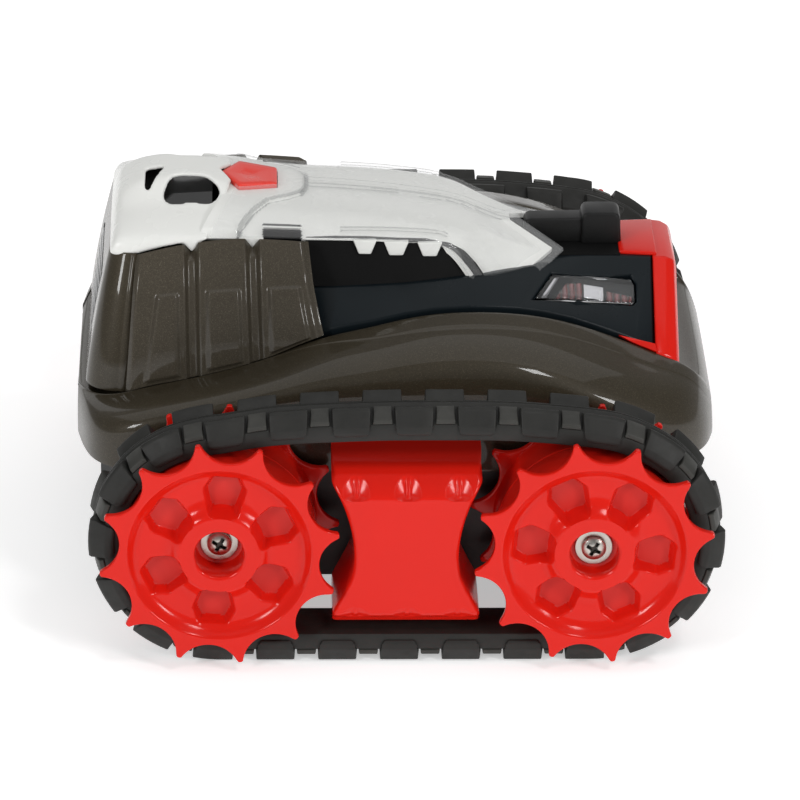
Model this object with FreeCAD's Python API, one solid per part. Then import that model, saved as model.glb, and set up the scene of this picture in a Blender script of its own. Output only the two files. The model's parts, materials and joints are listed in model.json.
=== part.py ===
import FreeCAD, Part
import os, math
from FreeCAD import Vector as V

# Tracked toy vehicle: two rubber tracks on four spool wheels, a moulded body,
# two geared motors inside, a press button on top and a slide switch below.
# Millimetres. +X forward, +Y to the vehicle's left, +Z up, ground at Z = 0.

os.makedirs("parts", exist_ok=True)

# ---------------------------------------------------------------- dimensions
P = 16.0                 # track pitch
XW = 3.0 * P             # half wheelbase
ZW = 2.10 * P            # wheel centre height = lug radius
XS = 1.8                 # shift that centres the bounding box in X
R_TIP = 1.942 * P        # star disc tip radius
R_ROOT = 1.60 * P        # star disc scallop root
N_TIP = 12
Y_OUT = 5.4875 * P       # outer face of the outer star disc
T_DISC = 1.9             # star disc thickness
Y_IN_FACE = Y_OUT - 1.50 * P   # outer face of the inner star disc
R_DRUM = 1.555 * P       # drum that carries the belt
Y_SPLIT = 74.7           # where the two wheel halves meet
YT = 4.67 * P            # centre plane of a track
R_BAND = 1.58 * P        # belt inner radius
R_LUG = 2.10 * P
ARCH = 2.4               # rise of the belt's top run at mid length
R_AXLE = 3.0
SEAT_REAR = 79.3         # hub seat plane of the rear wheels
SEAT_FRONT = 82.2
Y_FEND = 60.0
Z_TUB0, Z_TUB1, Y_TUB = 13.0, 44.0, 56.5
MOD = 0.8
Z_BIG, Z_SMALL = 36, 12
CD = MOD * (Z_BIG + Z_SMALL) / 2.0
GX = -XW + CD            # compound gear centre, X
MX = GX + CD             # motor centre, X

NODES = {}


def put(name, shape):
    s = shape.copy()
    s.translate(V(XS, 0, 0))
    NODES[name] = s


def box(x0, x1, y0, y1, z0, z1):
    return Part.makeBox(x1 - x0, y1 - y0, z1 - z0, V(x0, y0, z0))


def cyl_y(r, y0, y1, x=0.0, z=0.0):
    return Part.makeCylinder(r, y1 - y0, V(x, y0, z), V(0, 1, 0))


def face(pts):
    return Part.Face(Part.makePolygon([V(*p) for p in pts] + [V(*pts[0])]))


def prism_x(yz, x0, x1):
    return face([(x0, y, z) for y, z in yz]).extrude(V(x1 - x0, 0, 0))


def prism_y(xz, y0, y1):
    return face([(x, y0, z) for x, z in xz]).extrude(V(0, y1 - y0, 0))


def prism_z(xy, z0, z1):
    return face([(x, y, z0) for x, y in xy]).extrude(V(0, 0, z1 - z0))


def loft_x(stations):
    wires = []
    for x, yz in stations:
        pts = [V(x, y, z) for y, z in yz]
        wires.append(Part.makePolygon(pts + [pts[0]]))
    s = Part.makeLoft(wires, True, True)
    if s.ShapeType != "Solid":
        s = s.Solids[0]
    if s.Volume < 0:
        s.reverse()
    return s


def mir(s):
    return s.mirror(V(0, 0, 0), V(0, 1, 0))


def interp(tab, x):
    if x <= tab[0][0]:
        return tab[0][1:]
    for a, b in zip(tab, tab[1:]):
        if x <= b[0]:
            t = (x - a[0]) / (b[0] - a[0])
            return tuple(p + t * (q - p) for p, q in zip(a[1:], b[1:]))
    return tab[-1][1:]


def sym(half):
    """closed section from one half, bottom outside first, top middle last"""
    return [(-y, z) for y, z in half] + [(y, z) for y, z in reversed(half)]


def fuse(*ss):
    r = ss[0]
    for s in ss[1:]:
        r = r.fuse(s)
    return r.removeSplitter()


# ---------------------------------------------------------------- body shells
# x, side y, side top z, shoulder y, shoulder z, crest y, crest z
FEND = [
    (-85.4, 34.0, 50.0, 31.0, 52.5, 24.0, 54.0),
    (-83.0, 47.0, 52.0, 43.0, 55.0, 34.0, 56.0),
    (-76.0, 57.0, 55.0, 52.0, 57.5, 39.5, 57.0),
    (-66.0, 59.6, 58.0, 55.0, 60.5, 40.0, 59.5),
    (-54.0, 60.0, 60.5, 55.5, 63.0, 40.0, 62.0),
    (-38.0, 60.0, 64.5, 55.5, 67.0, 40.0, 66.5),
    (-21.0, 60.0, 68.0, 55.5, 71.5, 40.0, 73.6),
    (-10.0, 60.0, 69.0, 55.5, 73.0, 39.8, 75.9),
    (3.0, 60.0, 70.0, 55.5, 75.0, 39.0, 79.0),
    (16.0, 60.0, 70.5, 55.5, 75.8, 38.5, 80.0),
    (29.0, 60.0, 70.0, 55.5, 75.0, 38.0, 79.4),
    (41.0, 60.0, 67.0, 55.5, 72.0, 37.0, 77.0),
    (54.0, 59.0, 62.0, 54.0, 67.0, 35.5, 72.0),
    (66.0, 56.0, 56.5, 51.0, 62.0, 34.5, 66.5),
    (75.0, 50.0, 52.0, 45.0, 57.5, 33.0, 62.0),
    (80.0, 42.0, 48.5, 38.0, 52.0, 30.0, 55.5),
    (81.8, 34.0, 46.5, 31.0, 48.5, 26.0, 50.5),
]
Z_SK = 44.2              # lower edge of the fender skirt


def fend_section(row, d=0.0, zb=Z_SK):
    x, ys, zs, yh, zh, yc, zc = row
    return sym([(ys - d, zb), (ys - d, zs - 0.6 * d), (yh - 0.6 * d, zh - d), (yc - 0.4 * d, zc - d), (yc - 4.0, zc - d - 2.6)])


outer = loft_x([(r[0], fend_section(r)) for r in FEND])
inner_rows = [(-83.2,) + interp(FEND, -83.2)] + [r for r in FEND if -83 < r[0] < 80] + [(79.8,) + interp(FEND, 79.8)]
inner = loft_x([(r[0], fend_section(r, 2.2, 40.0)) for r in inner_rows])
fender = outer.cut(inner)
# large opening in the deck under the canopy and pods
fender = fender.cut(box(-68, 56, -27.5, 27.5, 45, 90))


def crest(x):
    return interp(FEND, x)[4:6]


# ribbed side pods: x, top y, top z, knee y, knee z
POD = [
    (-73.0, 28.0, 91.0, 33.0, 83.0),
    (-57.0, 28.0, 94.8, 33.4, 85.0),
    (-42.0, 28.0, 96.4, 33.8, 86.0),
    (-20.5, 28.0, 95.2, 33.8, 86.5),
]


def pod_section(r):
    x, yt, zt, yk, zk = r
    yc, zc = crest(x)
    zb = zc - 2.2
    return [(yc - 4.6, zb), (yc - 0.4, zc + 0.25), (yk, zk), (yt, zt), (yt - 2.4, zt - 1.2), (yk - 2.6, zk - 0.8), (yc - 5.0, zc + 0.4)]


pod = loft_x([(r[0], pod_section(r)) for r in POD])
pod = pod.cut(prism_y([(-25.4, 97.5), (-10, 97.5), (-10, 60), (-20.7, 60)], 20, 50))
for xa, xb in ((-55.4, -54.6), (-39.4, -38.2)):
    pod = pod.cut(prism_y([(xa - 1.1, 98), (xa + 1.1, 98), (xb + 1.3, 60), (xb - 1.3, 60)], 20, 60).common(
        loft_x([(-73.2, [(60, 50), (60, 99), (26.9, 99), (26.9, 95.2), (32.6, 84.0), (40.0, 55.0)]),
                (-15.0, [(60, 50), (60, 99), (27.2, 99), (27.2, 96.0), (33.0, 86.0), (38.6, 76.0)])])))
pod = max(pod.Solids, key=lambda s: s.Volume)
side_pod = pod.cut(outer)
side_pod = max(side_pod.Solids, key=lambda s: s.Volume)

# rear wall of the body, brown, under the tail cowl
rear_prof = [(-83.4, 58.0), (-81.2, 70.0), (-79.0, 84.0), (-76.8, 92.5), (-73.2, 92.5), (-73.2, 58.5)]
rear = prism_y(rear_prof, -40, 40)
rear = rear.common(prism_x([(-37.0, 56), (-35.0, 70), (-29.0, 93), (29.0, 93), (35.0, 70), (37.0, 56)], -90, -60))
rear = rear.cut(box(-80.0, -73.0, -22.0, 22.0, 50, 91))
rear = rear.cut(prism_y([(-90, 62.5), (-78.6, 62.5), (-76.4, 82.5), (-90, 82.5)], -17.2, 17.2))
rear = rear.cut(outer)
rear = max(rear.Solids, key=lambda s: s.Volume)

# black grille in the rear wall
vent = prism_y([(-82.6, 63.0), (-81.9, 67.5), (-78.9, 82.0), (-76.9, 82.0), (-79.0, 66.0), (-79.4, 63.0)], -17.0, 17.0)
for k in range(5):
    vent = vent.cut(box(-84, -80.9 + 0.62 * k, -14.0, 14.0, 65.4 + 3.2 * k, 66.9 + 3.2 * k))

# white tail cowl: x, top z, shoulder y, shoulder z, edge y, edge z, lower z
COWL = [
    (-76.6, 94.5, 20.0, 93.8, 27.0, 92.9, 92.7),
    (-75.4, 100.5, 21.0, 98.5, 27.6, 94.8, 92.7),
    (-72.0, 104.0, 21.5, 101.4, 28.0, 95.6, 92.7),
    (-65.0, 106.0, 22.0, 103.2, 28.4, 97.0, 94.2),
    (-52.0, 106.2, 22.0, 103.4, 28.6, 98.2, 95.8),
    (-45.0, 104.4, 22.0, 102.0, 28.6, 98.2, 96.6),
]


def cowl_section(r, d=0.0, dz=0.0):
    x, zt, ys, zs, ye, ze, zl = r
    return sym([(ye - d, zl - dz), (ye - d, ze - 0.4 * d), (ys - 0.5 * d, zs - d), (11.0, zt - 0.6 - d), (5.0, zt - 0.1 - d)])


cowl = loft_x([(r[0], cowl_section(r)) for r in COWL])
ci = [(-74.4,) + interp(COWL, -74.4)] + [r for r in COWL if r[0] > -74] + [(-44.0,) + COWL[-1][1:]]
cowl = cowl.cut(loft_x([(r[0], cowl_section(r, 2.0, 6.0)) for r in ci]))
cowl = cowl.cut(box(-72.5, -30, -26.0, 26.0, 80, 96))
hole = prism_z([(-63, 9), (-61, 7), (-52, 7), (-49, 9.5), (-49, 14), (-51, 17.5), (-60, 18.5), (-62.6, 16)], 95, 115)
tri = prism_z([(-67.8, 4.5), (-64.0, 4.5), (-67.8, 13.0)], 95, 115)
for h in (hole, tri):
    cowl = cowl.cut(h).cut(mir(h))
# pentagon well for the button
BTN = [(-47.8, 0.0), (-43.0, 8.4), (-32.9, 5.6), (-32.9, -5.6), (-43.0, -8.4)]


def grow(poly, d):
    cx = sum(p[0] for p in poly) / len(poly)
    return [((x - cx) * (1 + d / 8.0) + cx, y * (1 + d / 7.0)) for x, y in poly]


well = prism_z(grow(BTN, 0.35), 80, 112)
cowl = cowl.cut(well)
cowl = max(cowl.Solids, key=lambda s: s.Volume)

# black tray inside the cowl, seen through its openings
tray = loft_x([(-72.2, sym([(20.0, 93.2), (20.0, 98.0), (10.0, 101.0)])),
               (-50.0, sym([(20.0, 94.2), (20.0, 99.0), (10.0, 102.2)]))])
tray = tray.cut(loft_x([(-70.6, sym([(18.0, 90.2), (18.0, 96.6), (9.0, 99.2)])),
                        (-51.6, sym([(18.0, 90.2), (18.0, 97.2), (9.0, 100.2)]))]))

# clear canopy: x, top z, shoulder y, shoulder z, edge y, edge z
CAN = [
    (-43.6, 103.6, 21.0, 101.0, 28.0, 96.6),
    (-25.0, 101.9, 20.0, 99.6, 27.6, 95.2),
    (0.0, 99.3, 19.5, 97.0, 27.2, 92.6),
    (11.0, 97.2, 19.0, 95.0, 27.4, 90.6),
    (24.0, 94.2, 18.5, 92.0, 28.0, 84.6),
    (32.0, 91.2, 17.0, 89.2, 23.0, 84.6),
    (38.0, 88.9, 14.0, 87.2, 17.5, 85.6),
]


def can_section(r, d, t):
    x, zt, ys, zs, ye, ze = r
    o = [(ye - d, ze - d), (ys - 0.7 * d, zs - d), (9.0, zt - 0.45 - d), (2.5, zt - d)]
    i = [(ye - d - t, ze - d - 0.2 * t), (ys - 0.7 * d - 0.8 * t, zs - d - t), (9.0, zt - 0.45 - d - t), (2.5, zt - d - t)]
    return [(-y, z) for y, z in o] + [(y, z) for y, z in reversed(o)] + [(y, z) for y, z in i] + [(-y, z) for y, z in reversed(i)]


canopy = loft_x([(r[0], can_section(r, 0.0, 1.2)) for r in CAN])
liner = loft_x([(r[0], can_section(r, 1.5, 1.4)) for r in CAN])
nose_notch = prism_z([(30.5, 0), (34.0, 3.6), (45, 9.5), (45, -9.5), (34.0, -3.6)], 80, 100)
canopy = canopy.cut(nose_notch).cut(prism_z(grow(BTN, 0.35), 80, 112))
liner = liner.cut(prism_z([(27.5, 0), (31.0, 4.6), (45, 11.5), (45, -11.5), (31.0, -4.6)], 80, 100)).cut(prism_z(grow(BTN, 0.35), 80, 112))
canopy = canopy.cut(loft_x([(r[0], cowl_section((r[0],) + r[1:], -0.1, 3.0)) for r in COWL]))
liner = liner.cut(loft_x([(r[0], cowl_section((r[0],) + r[1:], -0.1, 3.0)) for r in COWL]))
canopy = max(canopy.Solids, key=lambda s: s.Volume)
liner = max(liner.Solids, key=lambda s: s.Volume)
side_pod = side_pod.cut(canopy).cut(liner)
side_pod = max(side_pod.Solids, key=lambda s: s.Volume)

# dark blue cockpit frame: x, deck y, deck z, foot y
FRM = [
    (-24.5, 25.0, 86.0, 33.6),
    (-8.0, 27.5, 84.6, 35.6),
    (17.0, 27.0, 83.8, 34.4),
    (30.0, 21.0, 83.6, 33.9),
    (44.0, 12.6, 84.8, 32.6),
    (65.9, 12.6, 84.6, 31.4),
]


def frm_section(r, d=0.0, dz=0.0):
    x, yt, zt, yf = r
    zc = crest(x)[1]
    return sym([(yf - d, zc - 1.2 - dz), (yf - d, zc + 0.6 - 0.4 * d), (yt - 0.4 * d, zt - d)])


frame = loft_x([(r[0], frm_section(r)) for r in FRM])
frame_full = frame
canopy = max(canopy.cut(frame_full).Solids, key=lambda s: s.Volume)
liner = max(liner.cut(frame_full).Solids, key=lambda s: s.Volume)
side_pod = max(side_pod.cut(frame_full).Solids, key=lambda s: s.Volume)
fi = [(-22.5,) + interp(FRM, -22.5)] + list(FRM[1:-1]) + [(63.8,) + interp(FRM, 63.8)]
frame = frame.cut(loft_x([(r[0], frm_section(r, 2.2, 8.0)) for r in fi]))
frame = frame.cut(outer)
frame = max(frame.Solids, key=lambda s: s.Volume)


def side_plane_pt(x, t):
    """point on the frame's sloping side at x, t from deck edge 0 to foot 1"""
    yt, zt, yf = interp(FRM, x)
    zc = crest(x)[1]
    return yt + t * (yf - yt), zt + t * (zc + 0.6 - zt)


def window(x0, x1, t0, t1, lift, thick):
    pts = []
    for x, t in ((x0, t1), (x0 + 5.0, t0), (x1, t0), (x1, t1)):
        y, z = side_plane_pt(x, t)
        pts.append(V(x, -y, z))
    n = V(0, -0.52, 0.854)
    # flat pane fitted to three corners
    p0, p1, p2 = pts[0], pts[1], pts[2]
    nn = (p1 - p0).cross(p2 - p0)
    nn.normalize()
    if nn.z < 0:
        nn = nn * -1
    p3 = pts[3] - nn * ((pts[3] - p0).dot(nn))
    q = [p + nn * lift for p in (p0, p1, p2, p3)]
    f = Part.Face(Part.makePolygon(q + [q[0]]))
    return f.extrude(nn * thick)


win_cut = window(34.0, 60.5, 0.24, 0.80, -7.0, 12.0)
lens_r = window(34.35, 60.15, 0.26, 0.78, -1.4, 1.2)
unit_r = window(36.5, 58.5, 0.32, 0.74, -4.6, 2.6)
frame = frame.cut(win_cut).cut(mir(win_cut))
frame = max(frame.Solids, key=lambda s: s.Volume)

# red front bumper
BUMP = [
    (66.1, 35.5, 60.0, 35.5, 67.5, 12.8, 84.9),
    (70.5, 34.8, 59.0, 34.8, 65.5, 12.4, 84.3),
    (72.6, 33.0, 58.0, 33.0, 63.0, 11.6, 82.4),
]
bump = loft_x([(r[0], sym([(r[1], r[2]), (r[3], r[4]), (r[5], r[6])])) for r in BUMP])
bump = bump.cut(loft_x([(66.0, sym([(32.0, 50.0), (32.0, 66.0), (11.0, 82.4)])), (70.2, sym([(31.0, 50.0), (31.0, 64.0), (10.5, 81.2)]))]))
bump = bump.cut(outer)
bump = bump.cut(prism_x([(-20, 67.0), (-12, 77.5), (12, 77.5), (20, 67.0)], 70.9, 75))
bump = max(bump.Solids, key=lambda s: s.Volume)

# black fin on the nose deck
fin = fuse(prism_y([(33.2, 84.95), (33.2, 88.0), (35.0, 91.2), (47.5, 91.4), (48.2, 94.6), (49.2, 95.2), (58.4, 95.2), (59.4, 94.4), (59.4, 84.95)], -4.2, 4.2))
fin = fin.cut(liner).cut(canopy)
fin = fin.cut(frame_full)
fin = max(fin.Solids, key=lambda s: s.Volume)

# press button: cap, stem, coil spring, post
BTN_TOP = 103.6
cap = prism_z(BTN, 99.6, BTN_TOP)
slope = prism_y([(-50, 104.25), (-30, 101.6), (-30, 110), (-50, 110)], -12, 12)
cap = cap.cut(slope)
stem_x = -39.8
cap = fuse(cap, Part.makeCylinder(2.2, 8.0, V(stem_x, 0, 92.0)))
post = fuse(Part.makeCylinder(6.5, 1.8, V(stem_x, 0, 86.6)), Part.makeCylinder(3.4, 5.0, V(stem_x, 0, 86.6)).cut(Part.makeCylinder(2.3, 6.0, V(stem_x, 0, 88.4))),
            box(stem_x - 3.0, stem_x + 3.0, -26.0, 26.0, 84.6, 86.8))
post = post.cut(Part.makeCylinder(2.3, 4.0, V(stem_x, 0, 88.4)))
helix = Part.makeHelix(1.9, 10.2, 4.4)
helix.translate(V(stem_x, 0, 88.8))
prof = Part.Wire([Part.makeCircle(0.35, V(stem_x + 4.4, 0, 88.8), V(0, 1, 0))])
try:
    spring = Part.Wire(helix.Edges).makePipeShell([prof], True, True)
    if spring.ShapeType != "Solid":
        spring = spring.Solids[0]
except Exception:
    spring = Part.makeCylinder(4.8, 10.2, V(stem_x, 0, 88.8)).cut(Part.makeCylinder(4.0, 12.0, V(stem_x, 0, 88.0)))

# ---------------------------------------------------------------- lower chassis
tub_prof = [(-79.0, 26.0), (-70.0, Z_TUB0), (68.0, Z_TUB0), (77.0, 25.0), (77.0, Z_TUB1), (-79.0, Z_TUB1)]
tub = prism_y(tub_prof, -Y_TUB, Y_TUB)
tub_in = prism_y([(-76.4, 27.0), (-68.8, Z_TUB0 + 2.2), (66.8, Z_TUB0 + 2.2), (74.6, 26.0), (74.6, 60), (-76.4, 60)], -Y_TUB + 2.4, Y_TUB - 2.4)
for sy in (-1, 1):
    for xe, c, g in ((-79.0, 8.0, 6.4), (77.0, 14.0, 12.6)):
        d = math.copysign(1.0, xe)
        tub = tub.cut(prism_z([(xe + d, sy * (Y_TUB + 1.0)), (xe - d * (c + 1.0), sy * (Y_TUB + 1.0)), (xe + d, sy * (Y_TUB - c - 1.0))], 0.0, 60.0))
        xi, yi = xe - d * 2.4 + (0.2 if xe < 0 else 0.0), Y_TUB - 2.4
        tub_in = tub_in.cut(prism_z([(xi + d, sy * (yi + 1.0)), (xi - d * (g + 1.0), sy * (yi + 1.0)), (xi + d, sy * (yi - g - 1.0))], 0.0, 70.0))
tub = tub.cut(tub_in)
for sx in (-1, 1):
    for sy in (-1, 1):
        # boss around each axle in the side wall and an inner bearing post
        tub = tub.fuse(cyl_y(7.0, min(sy * 52.0, sy * 57.4), max(sy * 52.0, sy * 57.4), sx * XW, ZW))
        yi0, yi1 = (33.0, 37.0) if sx < 0 else (44.0, 48.0)
        a, b = sorted((sy * yi0, sy * yi1))
        tub = tub.fuse(box(sx * XW - 6, sx * XW + 6, a, b, Z_TUB0 + 1, ZW + 6))
for sx in (-1, 1):
    for sy in (-1, 1):
        tub = tub.cut(cyl_y(4.5, min(sy * 30, sy * 60), max(sy * 30, sy * 60), sx * XW, ZW))
# four screw pillars between floor and body
PIL = [(-72.0, 46.0), (68.0, 40.0)]
for px, py in PIL:
    for sy in (-1, 1):
        tub = tub.fuse(Part.makeCylinder(3.6, 27.0, V(px, sy * py, 16.0)))
for px, py in PIL:
    for sy in (-1, 1):
        tub = tub.cut(Part.makeCylinder(1.6, 40.0, V(px, sy * py, 5.0))).cut(Part.makeCylinder(3.3, 8.0, V(px, sy * py, 8.0)))
# saddles under the motors
for sy in (-1, 1):
    a, b = sorted((sy * 14.0, sy * 34.0))
    tub = tub.fuse(box(MX - 8.0, MX + 8.0, a, b, 14.0, ZW - 7.8))
# battery hatch and switch slot in the floor
tub = tub.cut(box(8.0, 62.0, -22.0, 22.0, 10.0, 20.0))
tub = tub.cut(box(-8.0, 1.0, -3.0, 3.0, 10.0, 20.0))
tub = tub.removeSplitter()
tub = max(tub.Solids, key=lambda s: s.Volume)

door = box(8.2, 61.8, -21.8, 21.8, 13.1, 15.0)
door = door.cut(Part.makeCylinder(1.7, 6.0, V(58.0, 0, 11.0)))
for k in range(6):
    door = door.cut(box(14.0, 40.0, -15.2 + 5.4 * k, -13.4 + 5.4 * k, 12.0, 13.6))

# six cells in a sleeve
pack = None
cells = []
for ix in range(2):
    for iy in range(3):
        cells.append(Part.makeCylinder(7.1, 24.0, V(12.0 + ix * 25.0, -14.6 + iy * 14.6, 23.4), V(1, 0, 0)))
tray_b = box(9.5, 63.5, -23.6, 23.6, 15.4, 35.2).cut(box(11.2, 61.8, -22.2, 22.2, 15.9, 40.0))
tray_b = tray_b.cut(box(56.2, 59.8, -1.9, 1.9, 10, 17))

board = box(8.0, 62.0, -24.0, 24.0, 35.2, 36.8)
board = fuse(board, box(10, 20, -20, -8, 36.8, 39.0), box(22, 32, -6, 6, 36.8, 38.4), box(40, 52, 6, 18, 36.8, 40.0),
             Part.makeCylinder(3.0, 7.0, V(18, 14, 36.8)), Part.makeCylinder(3.0, 7.0, V(46, -14, 36.8)))

# slide switch through the floor
sw_house = box(-9.5, 2.5, -4.5, 4.5, 15.3, 21.5).cut(box(-7.9, 0.9, -2.9, 2.9, 14.0, 19.0))
slider = fuse(box(-7.7, -3.1, -2.7, 2.7, 15.5, 18.6), box(-6.1, -3.3, -1.6, 1.6, 11.6, 15.5))

screws = []
for px, py in PIL:
    for sy in (-1, 1):
        s = Part.makeCylinder(2.9, 1.8, V(px, sy * py, 14.1)).fuse(Part.makeCylinder(1.5, 26.5, V(px, sy * py, 15.9)))
        s = s.cut(box(px - 1.8, px + 1.8, sy * py - 0.35, sy * py + 0.35, 13.0, 14.9)).cut(box(px - 0.35, px + 0.35, sy * py - 1.8, sy * py + 1.8, 13.0, 14.9))
        screws.append(s.removeSplitter())
s = Part.makeCylinder(2.9, 1.4, V(58.0, 0, 11.7)).fuse(Part.makeCylinder(1.5, 3.2, V(58.0, 0, 13.1)))
s = s.cut(box(56.2, 59.8, -0.35, 0.35, 11, 12.5)).cut(box(57.65, 58.35, -1.8, 1.8, 11, 12.5))
screws.append(s.removeSplitter())

# ---------------------------------------------------------------- pods between the wheels
R_CUT = 34.9
ypo = 84.0


def track_pod():
    yz = [(-57.0, 18.0), (-60.4, 12.0), (-80.2, 11.4), (-ypo, 16.8), (-ypo, 46.6), (-79.8, 51.6), (-74.0, 54.6), (-60.4, 55.4), (-60.4, 43.6), (-57.0, 43.6)]
    s = prism_x(yz, -21.0, 21.0)
    for sx in (-1, 1):
        s = s.cut(cyl_y(R_CUT, -90, -57.4, sx * XW, ZW))
    for k in (-13.0, 0.0, 13.0):
        s = s.cut(Part.makeSphere(2.6, V(k, -82.9, 50.6)))
        s = s.cut(Part.makeSphere(2.6, V(k, -83.1, 13.0)))
    s = s.cut(box(-7.0, 7.0, -80.0, -50.0, 20.0, 44.0))
    return max(s.Solids, key=lambda q: q.Volume)


tpod_r = track_pod()

# ---------------------------------------------------------------- wheels


def star(r_tip, r_root, phase_deg):
    """outline of a disc with pointed tips and round scallops"""
    pts = []
    step = 360.0 / N_TIP
    for k in range(N_TIP):
        a0 = phase_deg + k * step
        for f, r in ((-0.045, r_tip), (0.045, r_tip), (0.16, 0.45 * r_tip + 0.55 * r_root), (0.30, 0.12 * r_tip + 0.88 * r_root), (0.5, r_root),
                     (0.70, 0.12 * r_tip + 0.88 * r_root), (0.84, 0.45 * r_tip + 0.55 * r_root)):
            a = math.radians(a0 + f * step)
            pts.append((r * math.sin(a), r * math.cos(a)))
    return pts


def ring_seg(r0, r1, a0, a1, n=6):
    o = [(r1 * math.sin(math.radians(a0 + (a1 - a0) * i / n)), r1 * math.cos(math.radians(a0 + (a1 - a0) * i / n))) for i in range(n + 1)]
    k = [(r0 * math.sin(math.radians(a1 + (a0 - a1) * i / n)), r0 * math.cos(math.radians(a1 + (a0 - a1) * i / n))) for i in range(n + 1)]
    return o + k


def wheel_outer(seat, pocket_phase, tip_phase):
    """right-hand wheel half, outer face towards -Y, at the origin"""
    y = -Y_OUT
    s = prism_y(star(R_TIP, R_ROOT, tip_phase), y, y + T_DISC)
    s = s.fuse(cyl_y(R_DRUM, y + T_DISC, -Y_SPLIT))
    # dished annulus in the face
    s = s.cut(cyl_y(1.46 * P, y - 1, y + 1.0).cut(cyl_y(0.62 * P, y - 1, y + 1.0)))
    # hollow behind the face
    s = s.cut(cyl_y(R_DRUM - 2.0, y + 7.6, -Y_SPLIT + 1).cut(cyl_y(7.0, y + 7.6, -Y_SPLIT + 1)))
    for k in range(6):
        a = pocket_phase + 60.0 * k
        s = s.cut(prism_y(ring_seg(0.70 * P, 1.30 * P, a - 17.0, a + 17.0), y - 1, y + 5.2))
    s = s.cut(cyl_y(0.395 * P, y - 1, -seat))
    s = s.cut(cyl_y(R_AXLE + 0.02, y - 1, -Y_SPLIT + 1))
    return s.removeSplitter()


def wheel_inner(tip_phase):
    y0 = -Y_IN_FACE
    s = prism_y(star(R_TIP, R_ROOT, tip_phase + 15.0), y0, y0 + T_DISC)
    s = s.fuse(cyl_y(R_DRUM, -Y_SPLIT + 0.1, y0))
    s = s.cut(cyl_y(R_DRUM - 2.0, -Y_SPLIT - 1, y0).cut(cyl_y(7.0, -Y_SPLIT - 1, y0)))
    s = s.fuse(cyl_y(6.0, y0 + T_DISC, -58.0))
    s = s.cut(cyl_y(R_AXLE + 0.02, -Y_SPLIT - 1, -57.0))
    return s.removeSplitter()


def hub_fastener(seat):
    w = cyl_y(4.9, -seat - 0.8, -seat).cut(cyl_y(1.65, -seat - 2, -seat + 1))
    h = cyl_y(3.15, -seat - 2.6, -seat - 0.8).fuse(cyl_y(1.5, -seat - 0.8, -seat + 8.0))
    h = h.cut(box(-2.3, 2.3, -seat - 3, -seat - 1.6, -0.45, 0.45)).cut(box(-0.45, 0.45, -seat - 3, -seat - 1.6, -2.3, 2.3))
    return w, h.removeSplitter()


# ---------------------------------------------------------------- gears


def gear(z, m, th_deg, y0, y1, thin=0.12):
    """involute spur gear about Y at the origin; a tooth points along angle th (from +X towards +Z)"""
    rp = m * z / 2.0
    al = math.radians(20.0)
    rb = rp * math.cos(al)
    ra = rp + 0.85 * m
    rf = rp - 1.2 * m
    half = (math.pi * m / 2.0 - 2 * thin) / 2.0 / rp + (math.tan(al) - al)
    flank = []
    n = 5
    r0 = max(rb, rf + 0.05)
    for i in range(n + 1):
        r = r0 + (ra - r0) * i / n
        t = math.sqrt(max((r / rb) ** 2 - 1.0, 0.0))
        flank.append((r, half - (t - math.atan(t))))
    pts = []
    for k in range(z):
        c = math.radians(th_deg) + 2 * math.pi * k / z
        pts.append((rf, c - flank[0][1] - 0.02))
        for r, h in flank:
            pts.append((r, c - h))
        for r, h in reversed(flank):
            pts.append((r, c + h))
        pts.append((rf, c + flank[0][1] + 0.02))
    return prism_y([(r * math.cos(a), r * math.sin(a)) for r, a in pts], y0, y1)


YG = 46.0                # final gear plane
fin_g = gear(Z_BIG, MOD, 0.0, -YG - 2.0, -YG + 2.0).cut(cyl_y(R_AXLE + 0.01, -60, -30))
fin_g = fin_g.fuse(cyl_y(6.0, -YG + 2.0, -YG + 2.9).cut(cyl_y(R_AXLE + 0.01, -60, -30))).removeSplitter()
comp_s = gear(Z_SMALL, MOD, 180.0 + 180.0 / Z_SMALL, -YG - 2.2, -YG + 3.4)
comp_b = gear(Z_BIG, MOD, 0.0, -42.6, -39.4)
comp = comp_s.fuse(comp_b).cut(cyl_y(1.56, -60, -30)).removeSplitter()
pin_g = gear(Z_SMALL, MOD, 180.0 + 180.0 / Z_SMALL, -42.4, -39.6)
rotor = pin_g.fuse(cyl_y(1.0, -39.6, -8.0)).removeSplitter()

# ---------------------------------------------------------------- belts


def belt_outline(r, n=28, rise=0.0):
    """closed outline at distance r from the wheel centres, top run arched"""
    pts = []
    for i in range(n + 1):
        a = math.pi / 2 - math.pi * i / n
        pts.append((XW + r * math.cos(a), ZW + r * math.sin(a)))
    for i in range(n + 1):
        a = -math.pi / 2 - math.pi * i / n
        pts.append((-XW + r * math.cos(a), ZW + r * math.sin(a)))
    m = 11
    for i in range(1, m + 1):
        t = i / (m + 1.0)
        pts.append((-XW + 2 * XW * t, ZW + r + ARCH * math.sin(math.pi * t) ** 2))
    return pts


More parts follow.
